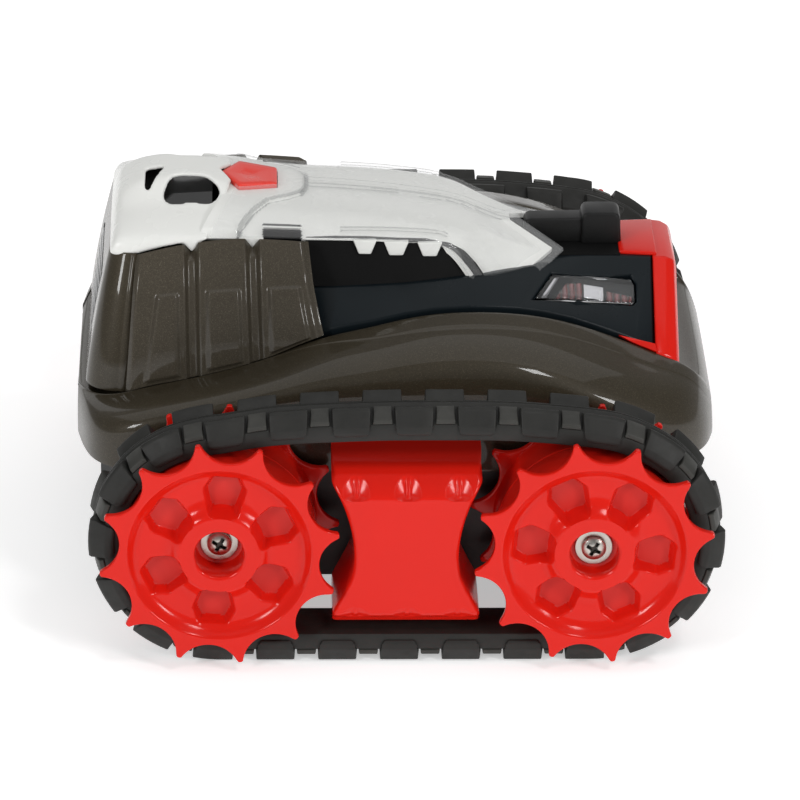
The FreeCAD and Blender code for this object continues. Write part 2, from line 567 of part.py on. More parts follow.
def belt_frame(sp):
    """position and outward normal at sp pitches along the pitch line, from the middle of the top run, forwards"""
    rp = 12.0 / (2 * math.pi) * P
    s = (sp % 24.0) * P
    if s > 21.0 * P:
        s -= 24.0 * P
    if s <= 3.0 * P:
        x = s
        t = (x + XW) / (2 * XW)
        rise = ARCH * math.sin(math.pi * t) ** 2
        dz = ARCH * 2 * math.sin(math.pi * t) * math.cos(math.pi * t) * math.pi / (2 * XW)
        n = V(-dz, 0, 1)
        n.normalize()
        return V(x, 0, ZW) + V(0, 0, rise), n
    s -= 3.0 * P
    if s <= 6.0 * P:
        a = math.pi / 2 - s / rp
        return V(XW, 0, ZW), V(math.cos(a), 0, math.sin(a))
    s -= 6.0 * P
    if s <= 6.0 * P:
        return V(XW - s, 0, ZW), V(0, 0, -1)
    s -= 6.0 * P
    a = -math.pi / 2 - s / rp
    return V(-XW, 0, ZW), V(math.cos(a), 0, math.sin(a))


def lug(sp, side, r0=1.84, r1=2.105):
    """one half-width lug; side -1 is the outer half of a right-hand belt"""
    c, n = belt_frame(sp)
    t = V(n.z, 0, -n.x)
    s = side
    w0, w1 = 0.33 * P, 0.275 * P
    ys = [0.0, 0.44 * P, 0.545 * P]
    secs = [(ys[0], w0, r0 * P, r1 * P), (ys[1], w1 + 0.4, r0 * P, r1 * P), (ys[2], w1, 1.70 * P, 1.87 * P)]
    wires = []
    for y, w, ra, rb in secs:
        wt = w - 0.055 * P
        pts = [c + n * ra - t * w, c + n * rb - t * wt, c + n * rb + t * wt, c + n * ra + t * w]
        pts = [V(p.x, s * y, p.z) for p in pts]
        wires.append(Part.makePolygon(pts + [pts[0]]))
    q = Part.makeLoft(wires, True, True)
    q = q if q.ShapeType == "Solid" else q.Solids[0]
    if q.Volume < 0:
        q.reverse()
    return q


def belt():
    hw = 0.48 * P
    o = face([(x, -hw, z) for x, z in belt_outline(1.87 * P)]).extrude(V(0, 2 * hw, 0))
    i = face([(x, -hw - 1, z) for x, z in belt_outline(R_BAND)]).extrude(V(0, 2 * hw + 2, 0))
    cen = face([(x, -0.30 * P, z) for x, z in belt_outline(1.97 * P)]).extrude(V(0, 0.60 * P, 0))
    b = o.fuse(cen).cut(i)
    lugs = [lug(k + 0.1, -1) for k in range(24)] + [lug(k + 0.6, 1) for k in range(24)]
    b = b.fuse(lugs)
    b = b.removeSplitter()
    return max(b.Solids, key=lambda q: q.Volume)


belt_r = belt()
belt_r.translate(V(0, -YT, 0))
floor_cut = box(-200, 200, -200, 200, -20, 0.0)
belt_r = belt_r.cut(floor_cut)
belt_r = max(belt_r.Solids, key=lambda q: q.Volume)

# ---------------------------------------------------------------- drive parts, right side (-Y)
bush = cyl_y(4.5, -57.4, -52.0).cut(cyl_y(R_AXLE + 0.05, -70, -30))
bush_in_r = cyl_y(4.5, -37.0, -33.0).cut(cyl_y(R_AXLE + 0.05, -70, -30))
bush_in_f = cyl_y(4.5, -48.0, -44.0).cut(cyl_y(R_AXLE + 0.05, -70, -30))


def axle(seat, y_in):
    a = cyl_y(R_AXLE, -seat + 0.3, -y_in).cut(cyl_y(1.5, -seat - 1, -seat + 9.0))
    return a


def motor():
    m = cyl_y(10.1, -37.0, -12.0).cut(box(-20, 20, -40, -5, 7.8, 20)).cut(box(-20, 20, -40, -5, -20, -7.8))
    m = m.fuse(cyl_y(3.0, -37.9, -37.0)).fuse(cyl_y(3.0, -12.0, -10.6))
    m = m.cut(cyl_y(1.05, -50, -5))
    return m.removeSplitter()


def bracket():
    """U-shaped gearbox plate: inner wall carries motor and pin, outer wall the pin"""
    b = box(GX - 5.5, MX + 11.0, -39.2, -37.95, ZW - 9.5, ZW + 9.5)
    b = b.cut(cyl_y(4.2, -41, -36, MX, ZW))
    b = b.fuse(box(GX - 5.5, GX + 5.5, -51.6, -50.2, 15.2, ZW + 5.5))
    b = b.fuse(box(GX - 5.5, GX + 5.5, -51.6, -37.95, 15.2, 17.2))
    b = b.fuse(box(GX - 5.5, GX + 5.5, -39.2, -37.95, 15.2, ZW))
    b = b.cut(cyl_y(1.5, -60, -30, GX, ZW))
    return b.removeSplitter()


def at(s, x, z=ZW):
    q = s.copy()
    q.translate(V(x, 0, z))
    return q


TIP = -10.0
right = {
    "wheel_outer_rear": at(wheel_outer(SEAT_REAR, 5.0, TIP), -XW),
    "wheel_outer_front": at(wheel_outer(SEAT_FRONT, 5.0 + 30.0, TIP), XW),
    "wheel_inner_rear": at(wheel_inner(TIP), -XW),
    "wheel_inner_front": at(wheel_inner(TIP), XW),
    "hub_screw_rear": at(Part.makeCompound(list(hub_fastener(SEAT_REAR))), -XW),
    "hub_screw_front": at(Part.makeCompound(list(hub_fastener(SEAT_FRONT))), XW),
    "drive_axle": at(axle(SEAT_REAR, 32.6), -XW),
    "idler_axle": at(axle(SEAT_FRONT, 43.6), XW),
    "final_gear": at(fin_g, -XW),
    "compound_gear": at(comp, GX),
    "gearbox_bracket": bracket(),
    "motor": at(motor(), MX),
    "motor_rotor": at(rotor, MX),
    "axle_bushes": Part.makeCompound([at(bush, -XW), at(bush, XW), at(bush_in_r, -XW), at(bush_in_f, XW)]),
    "track_pod": tpod_r,
    "track": belt_r,
    "side_pod": mir(side_pod),
    "window_lens": lens_r,
    "light_unit": unit_r,
}
tpod_l = tpod_r.copy()
tpod_l.rotate(V(0, 0, 0), V(0, 0, 1), 180.0)
for k, s in right.items():
    put(k + "_right", s)
    put(k + "_left", tpod_l if k == "track_pod" else mir(s))

pin = at(cyl_y(1.5, -51.6, -37.95), GX)
put("gear_pins", Part.makeCompound([pin, mir(pin)]))
put("fender_shell", fender)
put("rear_wall", rear)
put("rear_grille", vent)
put("tail_cowl", cowl)
put("cowl_tray", tray)
put("canopy_clear", canopy)
put("canopy_liner", liner)
put("cockpit_frame", frame)
put("front_bumper", bump)
put("nose_fin", fin)
put("press_button", cap)
put("button_post", post)
put("button_spring", spring)
put("lower_chassis", tub)
put("battery_door", door)
put("battery_cells", Part.makeCompound(cells))
put("battery_tray", tray_b)
put("circuit_board", board)
put("switch_housing", sw_house)
put("switch_slider", slider)
put("chassis_screws", Part.makeCompound(screws))

bb = FreeCAD.BoundBox()
for name in sorted(NODES):
    s = NODES[name]
    s.exportStep("parts/%s.step" % name)
    bb.add(s.BoundBox)
    bad = "" if (s.isValid() and all(q.isValid() and q.Volume > 0 for q in s.Solids)) else "  INVALID"
    if bad or not s.Solids:
        print("node", name, s.ShapeType, len(s.Solids), bad)
print("nodes", len(NODES), "box", [round(v, 2) for v in (bb.XMin, bb.XMax, bb.YMin, bb.YMax, bb.ZMin, bb.ZMax)])
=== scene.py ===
import bpy, bmesh, json, math
from mathutils import Vector, Matrix

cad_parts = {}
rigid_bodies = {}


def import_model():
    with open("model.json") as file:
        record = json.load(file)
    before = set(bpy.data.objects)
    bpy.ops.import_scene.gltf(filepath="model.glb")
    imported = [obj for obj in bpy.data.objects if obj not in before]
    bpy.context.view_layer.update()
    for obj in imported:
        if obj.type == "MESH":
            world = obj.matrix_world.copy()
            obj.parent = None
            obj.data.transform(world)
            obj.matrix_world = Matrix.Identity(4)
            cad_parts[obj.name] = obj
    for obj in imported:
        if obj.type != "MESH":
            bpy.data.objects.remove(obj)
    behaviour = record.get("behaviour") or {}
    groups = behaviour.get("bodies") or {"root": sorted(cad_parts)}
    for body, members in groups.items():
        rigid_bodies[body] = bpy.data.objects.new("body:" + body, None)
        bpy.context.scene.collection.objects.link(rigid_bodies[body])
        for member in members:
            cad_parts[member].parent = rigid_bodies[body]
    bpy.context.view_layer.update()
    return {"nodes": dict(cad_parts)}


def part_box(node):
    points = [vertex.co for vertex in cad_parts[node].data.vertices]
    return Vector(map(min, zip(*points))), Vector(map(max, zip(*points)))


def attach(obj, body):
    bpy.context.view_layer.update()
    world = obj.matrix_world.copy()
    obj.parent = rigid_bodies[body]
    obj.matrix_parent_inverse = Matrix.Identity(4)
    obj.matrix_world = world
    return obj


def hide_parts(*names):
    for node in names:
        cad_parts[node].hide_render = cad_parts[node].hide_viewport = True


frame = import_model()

# ------------------------------------------------------------------ frame anchors (mm)
P = 16.0


def mid(node, axis):
    lo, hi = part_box(node)
    return (lo[axis] + hi[axis]) * 500.0


XR = mid("drive_axle_right", 0)          # rear wheel centre
XF = mid("idler_axle_right", 0)          # front wheel centre
ZW = mid("drive_axle_right", 2)
XC = (XR + XF) / 2.0                     # wheelbase middle
XW = (XF - XR) / 2.0
Y_OUT = -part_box("wheel_outer_rear_right")[0][1] * 1000.0
Y_INF = Y_OUT - 1.50 * P                 # outer face of the inner star disc
Y_SPLIT = -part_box("wheel_outer_rear_right")[1][1] * 1000.0
YT = -(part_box("track_right")[0][1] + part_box("track_right")[1][1]) * 500.0
SEAT = {"rear": -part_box("hub_screw_rear_right")[0][1] * 1000.0 - 2.6,
        "front": -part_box("hub_screw_front_right")[0][1] * 1000.0 - 2.6}
R_TIP, R_ROOT = 1.942 * P, 1.60 * P
R_DRUM = 1.555 * P
ARCH = 2.4


def lerp(a, b, t):
    return a + (b - a) * t


def smooth(t):
    t = max(0.0, min(1.0, t))
    return t * t * (3 - 2 * t)


def lin(tab, x):
    """straight interpolation of a table of rows (x, v1, v2...)"""
    if x <= tab[0][0]:
        return list(tab[0][1:])
    for a, b in zip(tab, tab[1:]):
        if x <= b[0]:
            t = (x - a[0]) / (b[0] - a[0])
            return [lerp(p, q, t) for p, q in zip(a[1:], b[1:])]
    return list(tab[-1][1:])


def table(tab, x):
    """smooth (Catmull-Rom) interpolation of a table of rows (x, v1, v2...)"""
    n = len(tab)
    if x <= tab[0][0]:
        return list(tab[0][1:])
    if x >= tab[-1][0]:
        return list(tab[-1][1:])
    for i in range(n - 1):
        if x <= tab[i + 1][0]:
            break
    x0, x1 = tab[i][0], tab[i + 1][0]
    h = x1 - x0
    t = (x - x0) / h
    out = []
    for k in range(1, len(tab[0])):
        p0, p1 = tab[i][k], tab[i + 1][k]
        d = (p1 - p0) / h
        ma = d if i == 0 else 0.5 * (d + (p0 - tab[i - 1][k]) / (x0 - tab[i - 1][0]))
        mb = d if i + 2 >= n else 0.5 * (d + (tab[i + 2][k] - p1) / (tab[i + 2][0] - x1))
        if i > 0 and d * ((p0 - tab[i - 1][k])) <= 0:
            ma = 0.0
        if i + 2 < n and d * ((tab[i + 2][k] - p1)) <= 0:
            mb = 0.0
        t2, t3 = t * t, t * t * t
        out.append((2 * t3 - 3 * t2 + 1) * p0 + (t3 - 2 * t2 + t) * h * ma + (-2 * t3 + 3 * t2) * p1 + (t3 - t2) * h * mb)
    return out


# ------------------------------------------------------------------ materials
def new_mat(name):
    m = bpy.data.materials.new(name)
    m.use_nodes = True
    nt = m.node_tree
    nt.nodes.clear()
    out = nt.nodes.new("ShaderNodeOutputMaterial")
    b = nt.nodes.new("ShaderNodeBsdfPrincipled")
    nt.links.new(b.outputs[0], out.inputs[0])
    tc = nt.nodes.new("ShaderNodeTexCoord")
    return m, nt, b, tc


def noise(nt, tc, scale, detail=3.0, rough=0.5, stretch=None):
    n = nt.nodes.new("ShaderNodeTexNoise")
    n.inputs["Scale"].default_value = scale
    n.inputs["Detail"].default_value = detail
    n.inputs["Roughness"].default_value = rough
    if stretch:
        mp = nt.nodes.new("ShaderNodeMapping")
        mp.inputs["Scale"].default_value = stretch
        nt.links.new(tc.outputs["Object"], mp.inputs[0])
        nt.links.new(mp.outputs[0], n.inputs["Vector"])
    else:
        nt.links.new(tc.outputs["Object"], n.inputs["Vector"])
    return n


def ramp(nt, src, stops):
    r = nt.nodes.new("ShaderNodeValToRGB")
    el = r.color_ramp.elements
    while len(el) > 1:
        el.remove(el[-1])
    el[0].position = stops[0][0]
    el[0].color = tuple(stops[0][1]) + ((1.0,) if len(stops[0][1]) == 3 else ())
    for pos, col in stops[1:]:
        e = el.new(pos)
        e.color = tuple(col) + ((1.0,) if len(col) == 3 else ())
    nt.links.new(src, r.inputs[0])
    return r


def rng(nt, src, lo, hi, a=0.3, b=0.7):
    m = nt.nodes.new("ShaderNodeMapRange")
    m.inputs[1].default_value = a
    m.inputs[2].default_value = b
    m.inputs[3].default_value = lo
    m.inputs[4].default_value = hi
    nt.links.new(src, m.inputs[0])
    return m


def bump(nt, src, b, strength, dist):
    n = nt.nodes.new("ShaderNodeBump")
    n.inputs["Strength"].default_value = strength
    n.inputs["Distance"].default_value = dist
    nt.links.new(src, n.inputs["Height"])
    nt.links.new(n.outputs[0], b.inputs["Normal"])
    return n


def plastic(name, col, rough, var=0.06, grain=1800.0, gs=0.08, gd=0.00005, coat=0.0, spec=0.5, sss=0.0):
    m, nt, b, tc = new_mat(name)
    n1 = noise(nt, tc, 26.0, 4.0)
    lo = [max(0.0, c * (1 - var)) for c in col]
    hi = [min(1.0, c * (1 + var)) for c in col]
    r = ramp(nt, n1.outputs[0], [(0.3, lo), (0.7, hi)])
    nt.links.new(r.outputs[0], b.inputs["Base Color"])
    n2 = noise(nt, tc, 90.0, 3.0)
    rr = rng(nt, n2.outputs[0], rough * 0.85, rough * 1.2)
    nt.links.new(rr.outputs[0], b.inputs["Roughness"])
    n3 = noise(nt, tc, grain, 2.0)
    bump(nt, n3.outputs[0], b, gs, gd)
    b.inputs["Specular IOR Level"].default_value = spec
    b.inputs["Coat Weight"].default_value = coat
    b.inputs["Coat Roughness"].default_value = 0.08
    if sss:
        b.inputs["Subsurface Weight"].default_value = sss
        b.inputs["Subsurface Radius"].default_value = (0.004, 0.001, 0.0006)
        b.inputs["Subsurface Scale"].default_value = 0.5
    return m


M_RED = plastic("red_gloss", (0.67, 0.0125, 0.0060), 0.15, 0.03, 900.0, 0.04, 0.00005, 0.0, 0.24, 0.0)
M_BTN = plastic("red_button", (0.80, 0.050, 0.035), 0.30, 0.03, 900.0, 0.04, 0.00005, 0.0, 0.30, 0.0)
M_REDS = plastic("red_satin_pocket", (0.62, 0.020, 0.013), 0.50, 0.05, 2600.0, 0.25, 0.00008, 0.0, 0.35, 0.0)
M_WHITE = plastic("white_gloss", (0.80, 0.805, 0.775), 0.26, 0.015, 700.0, 0.04, 0.00005, 0.0, 0.45, 0.0)
M_BLACK = plastic("black_satin", (0.009, 0.009, 0.009), 0.42, 0.2, 2200.0, 0.25, 0.00008, 0.0, 0.22, 0.0)
M_VOID = plastic("black_matt", (0.006, 0.006, 0.006), 0.60, 0.2, 2200.0, 0.25, 0.00008, 0.0, 0.10, 0.0)
M_TRAY = plastic("black_gloss", (0.008, 0.008, 0.008), 0.16, 0.2, 1200.0, 0.06, 0.00005, 0.0, 0.5, 0.0)
M_NAVY = plastic("navy_satin", (0.0055, 0.0088, 0.0110), 0.30, 0.12, 1600.0, 0.12, 0.00006, 0.0, 0.17, 0.0)
M_CHASSIS = plastic("chassis_black", (0.016, 0.016, 0.016), 0.46, 0.2, 1800.0, 0.35, 0.0001, 0.0, 0.45, 0.0)
M_ACETAL = plastic("acetal", (0.72, 0.71, 0.66), 0.45, 0.04, 1800.0, 0.1, 0.00005)


def paint(name, base, fleck, rough=0.30):
    """moulded plastic with fine metallic fleck under a gloss skin"""
    m, nt, b, tc = new_mat(name)
    v = nt.nodes.new("ShaderNodeTexVoronoi")
    v.inputs["Scale"].default_value = 7000.0
    nt.links.new(tc.outputs["Object"], v.inputs["Vector"])
    sep = nt.nodes.new("ShaderNodeSeparateColor")
    nt.links.new(v.outputs["Color"], sep.inputs[0])
    r = ramp(nt, sep.outputs[0], [(0.0, [c * 0.80 for c in base]), (0.6, base), (0.9, [c * 1.2 for c in base]), (1.0, fleck)])
    n1 = noise(nt, tc, 14.0, 3.0)
    mx = nt.nodes.new("ShaderNodeMix")
    mx.data_type = "RGBA"
    mx.blend_type = "MULTIPLY"
    mx.inputs[0].default_value = 1.0
    r2 = ramp(nt, n1.outputs[0], [(0.3, (0.88, 0.88, 0.88)), (0.7, (1.1, 1.09, 1.07))])
    nt.links.new(r.outputs[0], mx.inputs[6])
    nt.links.new(r2.outputs[0], mx.inputs[7])
    nt.links.new(mx.outputs[2], b.inputs["Base Color"])
    n2 = noise(nt, tc, 2200.0, 2.0)
    rr = rng(nt, n2.outputs[0], rough * 0.9, rough * 1.15)
    nt.links.new(rr.outputs[0], b.inputs["Roughness"])
    bump(nt, sep.outputs[1], b, 0.05, 0.00004)
    b.inputs["Metallic"].default_value = 0.2
    b.inputs["Specular IOR Level"].default_value = 0.2
    b.inputs["Coat Weight"].default_value = 0.5
    b.inputs["Coat Roughness"].default_value = 0.045
    return m


M_GUN = paint("gunmetal_brown", (0.037, 0.0293, 0.0172), (0.072, 0.060, 0.040), 0.45)
M_PANEL = paint("gunmetal_panel", (0.054, 0.045, 0.0315), (0.105, 0.092, 0.068), 0.48)


def rubber(name, k):
    m, nt, b, tc = new_mat(name)
    n1 = noise(nt, tc, 60.0, 5.0, 0.6)
    r = ramp(nt, n1.outputs[0], [(0.3, (0.0125 * k, 0.0125 * k, 0.0110 * k)), (0.55, (0.0170 * k, 0.0168 * k, 0.0150 * k)), (0.75, (0.023 * k, 0.0225 * k, 0.020 * k))])
    nt.links.new(r.outputs[0], b.inputs["Base Color"])
    n2 = noise(nt, tc, 320.0, 4.0)
    rr = rng(nt, n2.outputs[0], 0.46, 0.62)
    nt.links.new(rr.outputs[0], b.inputs["Roughness"])
    n3 = noise(nt, tc, 1500.0, 4.0, 0.6)
    bump(nt, n3.outputs[0], b, 0.3, 0.0001)
    b.inputs["Specular IOR Level"].default_value = 0.32
    return m


M_RUBBER = rubber("track_rubber", 1.0)
# lighter copy of the track rubber (2.3 times) for the small pads: painted light on their up-facing tops
M_RUBBER_PAINTED_LIGHT = rubber("track_rubber_worn", 2.3)


def metal(name, col, rough, scale=(1.0, 1.0, 1.0), tone=0.15):
    m, nt, b, tc = new_mat(name)
    n1 = noise(nt, tc, 400.0, 4.0, 0.6, scale)
    r = ramp(nt, n1.outputs[0], [(0.3, [c * (1 - tone) for c in col]), (0.7, [min(1, c * (1 + tone)) for c in col])])
    nt.links.new(r.outputs[0], b.inputs["Base Color"])
    rr = rng(nt, n1.outputs[0], rough * 0.75, rough * 1.3)
    nt.links.new(rr.outputs[0], b.inputs["Roughness"])
    bump(nt, n1.outputs[0], b, 0.08, 0.00005)
    b.inputs["Metallic"].default_value = 1.0
    return m


M_STEEL = metal("zinc_steel", (0.50, 0.48, 0.44), 0.30)
# near-black copy of the steel for the screw's cross recess: painted shade in the recess
M_STEEL_RECESS_SHADE = metal("dark_recess_steel", (0.06, 0.055, 0.05), 0.42)
M_BRASS = metal("brass", (0.70, 0.50, 0.22), 0.30)


def clear(name, tint, rough=0.03):
    m, nt, b, tc = new_mat(name)
    n1 = noise(nt, tc, 40.0, 3.0)
    r = ramp(nt, n1.outputs[0], [(0.3, [c * 0.985 for c in tint]), (0.7, tint)])
    nt.links.new(r.outputs[0], b.inputs["Base Color"])
    n2 = noise(nt, tc, 60.0, 2.0)
    rr = rng(nt, n2.outputs[0], rough * 0.6, rough * 1.6)
    nt.links.new(rr.outputs[0], b.inputs["Roughness"])
    b.inputs["Transmission Weight"].default_value = 1.0
    b.inputs["IOR"].default_value = 1.49
    return m


def thin_clear(name, tint, alpha, rough):
    m, nt, b, tc = new_mat(name)
    n1 = noise(nt, tc, 40.0, 3.0)
    r = ramp(nt, n1.outputs[0], [(0.3, [c * 0.985 for c in tint]), (0.7, tint)])
    nt.links.new(r.outputs[0], b.inputs["Base Color"])
    n2 = noise(nt, tc, 60.0, 2.0)
    rr = rng(nt, n2.outputs[0], rough * 0.7, rough * 1.4)
    nt.links.new(rr.outputs[0], b.inputs["Roughness"])
    b.inputs["Alpha"].default_value = alpha
    b.inputs["IOR"].default_value = 1.95
    return m


M_CLEAR = thin_clear("clear_polycarbonate", (0.86, 0.87, 0.87), 0.11, 0.06)
# darker grey, less clear copy of the canopy plastic for the slopes of its steps: painted shade along the step lines
M_CLEAR_STEP_SHADE = thin_clear("clear_polycarbonate_edge", (0.34, 0.35, 0.35), 0.42, 0.10)
M_CLDARK = thin_clear("clear_polycarbonate_notch", (0.012, 0.012, 0.012), 0.62, 0.12)
M_LENS = clear("clear_lens", (0.93, 0.93, 0.935), 0.03)


def light_mat():
    """red block with moulded facets; the real unit is translucent, drawn here as an opaque coated surface"""
    m, nt, b, tc = new_mat("light_unit_red")
    w = nt.nodes.new("ShaderNodeTexWave")
    w.inputs["Scale"].default_value = 160.0
    w.inputs["Distortion"].default_value = 1.5
    nt.links.new(tc.outputs["Object"], w.inputs["Vector"])
    r = ramp(nt, w.outputs[0], [(0.0, (0.045, 0.006, 0.006)), (0.5, (0.15, 0.010, 0.010)), (1.0, (0.30, 0.10, 0.10))])
    nt.links.new(r.outputs[0], b.inputs["Base Color"])
    bump(nt, w.outputs[0], b, 0.5, 0.0003)
    b.inputs["Roughness"].default_value = 0.22
    b.inputs["Coat Weight"].default_value = 0.5
    return m


M_LIGHT = light_mat()
M_CHROME = metal("mirror_bar", (0.72, 0.72, 0.74), 0.12, (1.0, 1.0, 1.0), 0.05)


def board_mat():
    m, nt, b, tc = new_mat("circuit_green")
    v = nt.nodes.new("ShaderNodeTexBrick")
    v.inputs["Scale"].default_value = 220.0
    v.inputs["Color1"].default_value = (0.020, 0.13, 0.05, 1)
    v.inputs["Color2"].default_value = (0.024, 0.16, 0.06, 1)
    v.inputs["Mortar"].default_value = (0.06, 0.26, 0.12, 1)
    nt.links.new(tc.outputs["Object"], v.inputs["Vector"])
    nt.links.new(v.outputs[0], b.inputs["Base Color"])
    b.inputs["Roughness"].default_value = 0.35
    return m


M_PCB = board_mat()
M_CELL = plastic("cell_wrap", (0.05, 0.20, 0.08), 0.3, 0.12)


# ------------------------------------------------------------------ mesh tools
def obj_from(name, verts, faces, mat, dx=None):
    """verts in mm, x from the wheelbase middle"""
    ox = XC if dx is None else dx
    me = bpy.data.meshes.new(name)
    me.from_pydata([((v[0] + ox) * 0.001, v[1] * 0.001, v[2] * 0.001) for v in verts], [], faces)
    me.validate()
    me.update()
    o = bpy.data.objects.new(name, me)
    bpy.context.scene.collection.objects.link(o)
    mats = mat if isinstance(mat, (list, tuple)) else [mat]
    for m in mats:
        me.materials.append(m)
    return o


def fix_normals(o):
    bm = bmesh.new()
    bm.from_mesh(o.data)
    bmesh.ops.recalc_face_normals(bm, faces=bm.faces)
    bm.to_mesh(o.data)
    bm.free()


def weld(o, d=1e-6):
    bm = bmesh.new()
    bm.from_mesh(o.data)
    bmesh.ops.remove_doubles(bm, verts=bm.verts, dist=d)
    bmesh.ops.dissolve_degenerate(bm, edges=bm.edges, dist=d * 0.5)
    bm.to_mesh(o.data)
    bm.free()


def apply_mods(o):
    dg = bpy.context.evaluated_depsgraph_get()
    dg.update()
    me = bpy.data.meshes.new_from_object(o.evaluated_get(dg), preserve_all_data_layers=True, depsgraph=dg)
    o.modifiers.clear()
    old = o.data
    o.data = me
    me.name = o.name
    return o


def shade(o, deg=32.0):
    me = o.data
    me.shade_smooth()
    me.set_sharp_from_angle(angle=math.radians(deg))


def bevel(o, w, seg=3, deg=30.0, prof=0.5):
    m = o.modifiers.new("b", "BEVEL")
    m.width = w * 0.001
    m.segments = seg
    m.limit_method = "ANGLE"
    m.angle_limit = math.radians(deg)
    m.profile = prof
    m.use_clamp_overlap = True
    m.harden_normals = False
    return m


def subsurf(o, lv):
    m = o.modifiers.new("s", "SUBSURF")
    m.levels = lv
    m.render_levels = lv
    return m


def solidify(o, t, off=-1.0, even=False):
    m = o.modifiers.new("t", "SOLIDIFY")
    m.thickness = t * 0.001
    m.offset = off
    m.use_even_offset = even
    m.use_quality_normals = True
    return m


def boolean(o, cutter, op="DIFFERENCE"):
    m = o.modifiers.new("c", "BOOLEAN")
    m.operation = op
    m.solver = "EXACT"
    m.object = cutter
    apply_mods(o)
    bpy.data.objects.remove(cutter, do_unlink=True)
    return o


def remesh_smooth(o, voxel, it=2, fac=0.5):
    m = o.modifiers.new("r", "REMESH")
    m.mode = "VOXEL"
    m.voxel_size = voxel * 0.001
    m.use_smooth_shade = True
    if it:
        s = o.modifiers.new("k", "SMOOTH")
        s.factor = fac
        s.iterations = it
    apply_mods(o)
    return o


def mirror_copy(o, name):
    me = o.data.copy()
    for v in me.vertices:
        v.co.y = -v.co.y
    me.flip_normals()
    n = bpy.data.objects.new(name, me)
    me.name = name
    bpy.context.scene.collection.objects.link(n)
    return n


def grid_faces(nr, nc, wrap=False, off=0):
    f = []
    for i in range(nr - 1):
        for j in range(nc if wrap else nc - 1):
            a = off + i * nc + j
            b = off + i * nc + (j + 1) % nc
            f.append((a, b, b + nc, a + nc))
    return f


def prism(name, pts, axis, lo, hi, mat):
    """closed prism of a polygon along an axis; pts are the other two coordinates"""
    n = len(pts)
    vs = []
    for h in (lo, hi):
        for a, b in pts:
            vs.append({"x": (h, a, b), "y": (a, h, b), "z": (a, b, h)}[axis])
    fs = [tuple(range(n - 1, -1, -1)), tuple(range(n, 2 * n))]
    fs += [(i, (i + 1) % n, n + (i + 1) % n, n + i) for i in range(n)]
    o = obj_from(name, vs, fs, mat)
    fix_normals(o)
    return o


def loft(name, rows, mat, closed=True, caps=True):
    """rows: list of point lists (same length), each a closed or open section"""
    nc = len(rows[0])
    vs = [p for r in rows for p in r]
    fs = grid_faces(len(rows), nc, closed)
    if caps:
        fs.append(tuple(range(nc - 1, -1, -1)))
        k = (len(rows) - 1) * nc
        fs.append(tuple(k + i for i in range(nc)))
    o = obj_from(name, vs, fs, mat)
    fix_normals(o)
    return o


def join(name, objs):
    bm = bmesh.new()
    mats = []
    for o in objs:
        base = {}
        for i, m in enumerate(o.data.materials):
            if m not in mats:
                mats.append(m)
            base[i] = mats.index(m)
        t = bmesh.new()
        t.from_mesh(o.data)
        for f in t.faces:
            f.material_index = base.get(f.material_index, 0)
        tmp = bpy.data.meshes.new("tmp")
        t.to_mesh(tmp)
        t.free()
        bm.from_mesh(tmp)
        bpy.data.meshes.remove(tmp)
    me = bpy.data.meshes.new(name)
    bm.to_mesh(me)
    bm.free()
    for m in mats:
        me.materials.append(m)
    n = bpy.data.objects.new(name, me)
    bpy.context.scene.collection.objects.link(n)
    for o in objs:
        bpy.data.objects.remove(o, do_unlink=True)
    return n


def done(o, body, slot, *nodes):
    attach(o, body)
    if nodes:
        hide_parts(*nodes)
    return o


# ------------------------------------------------------------------ tracks
RP = 12.0 / (2 * math.pi) * P
# slack of the belt: rise over the top run by x, and off the wheels by angle
RISE = [(-48.0, 0.9), (-42.0, 2.0), (-36.0, 3.0), (-28.0, 3.7), (-16.0, 4.3), (0.0, 4.7), (16.0, 4.7), (28.0, 4.4), (36.0, 3.8), (43.0, 3.1), (48.0, 2.5)]
OFF_F = [(-90.0, 0.0), (-60.0, 0.0), (-30.0, 0.15), (0.0, 0.5), (27.0, 0.9), (42.0, 1.1), (55.0, 1.2), (67.0, 1.4), (80.0, 1.95), (90.0, 2.4)]
OFF_R = [(-90.0, 0.0), (-30.0, 0.0), (0.0, 0.2), (30.0, 0.4), (60.0, 0.5), (75.0, 0.5), (90.0, 0.9)]


def path(sp):
    s = (sp % 24.0) * P
    if s > 21.0 * P:
        s -= 24.0 * P
    if s <= 3.0 * P:
        return Vector((s * XW / (3.0 * P), 0, ZW + table(RISE, s)[0])), Vector((0, 0, 1))
    s -= 3.0 * P
    if s <= 6.0 * P:
        a = math.pi / 2 - s / RP
        n = Vector((math.cos(a), 0, math.sin(a)))
        return Vector((XW, 0, ZW)) + n * table(OFF_F, math.degrees(a))[0], n
    s -= 6.0 * P
    if s <= 6.0 * P:
        return Vector((XW - s * XW / (3.0 * P), 0, ZW)), Vector((0, 0, -1))
    s -= 6.0 * P
    a = -math.pi / 2 - s / RP
    n = Vector((math.cos(a), 0, math.sin(a)))
    return Vector((-XW, 0, ZW)) + n * table(OFF_R, math.degrees(s / RP - math.pi / 2))[0], n


def on_belt(sp, u, r):
    c, n = path(sp)
    return (c.x + n.x * r * P, -YT + u * P, c.z + n.z * r * P)


PH = 0.10


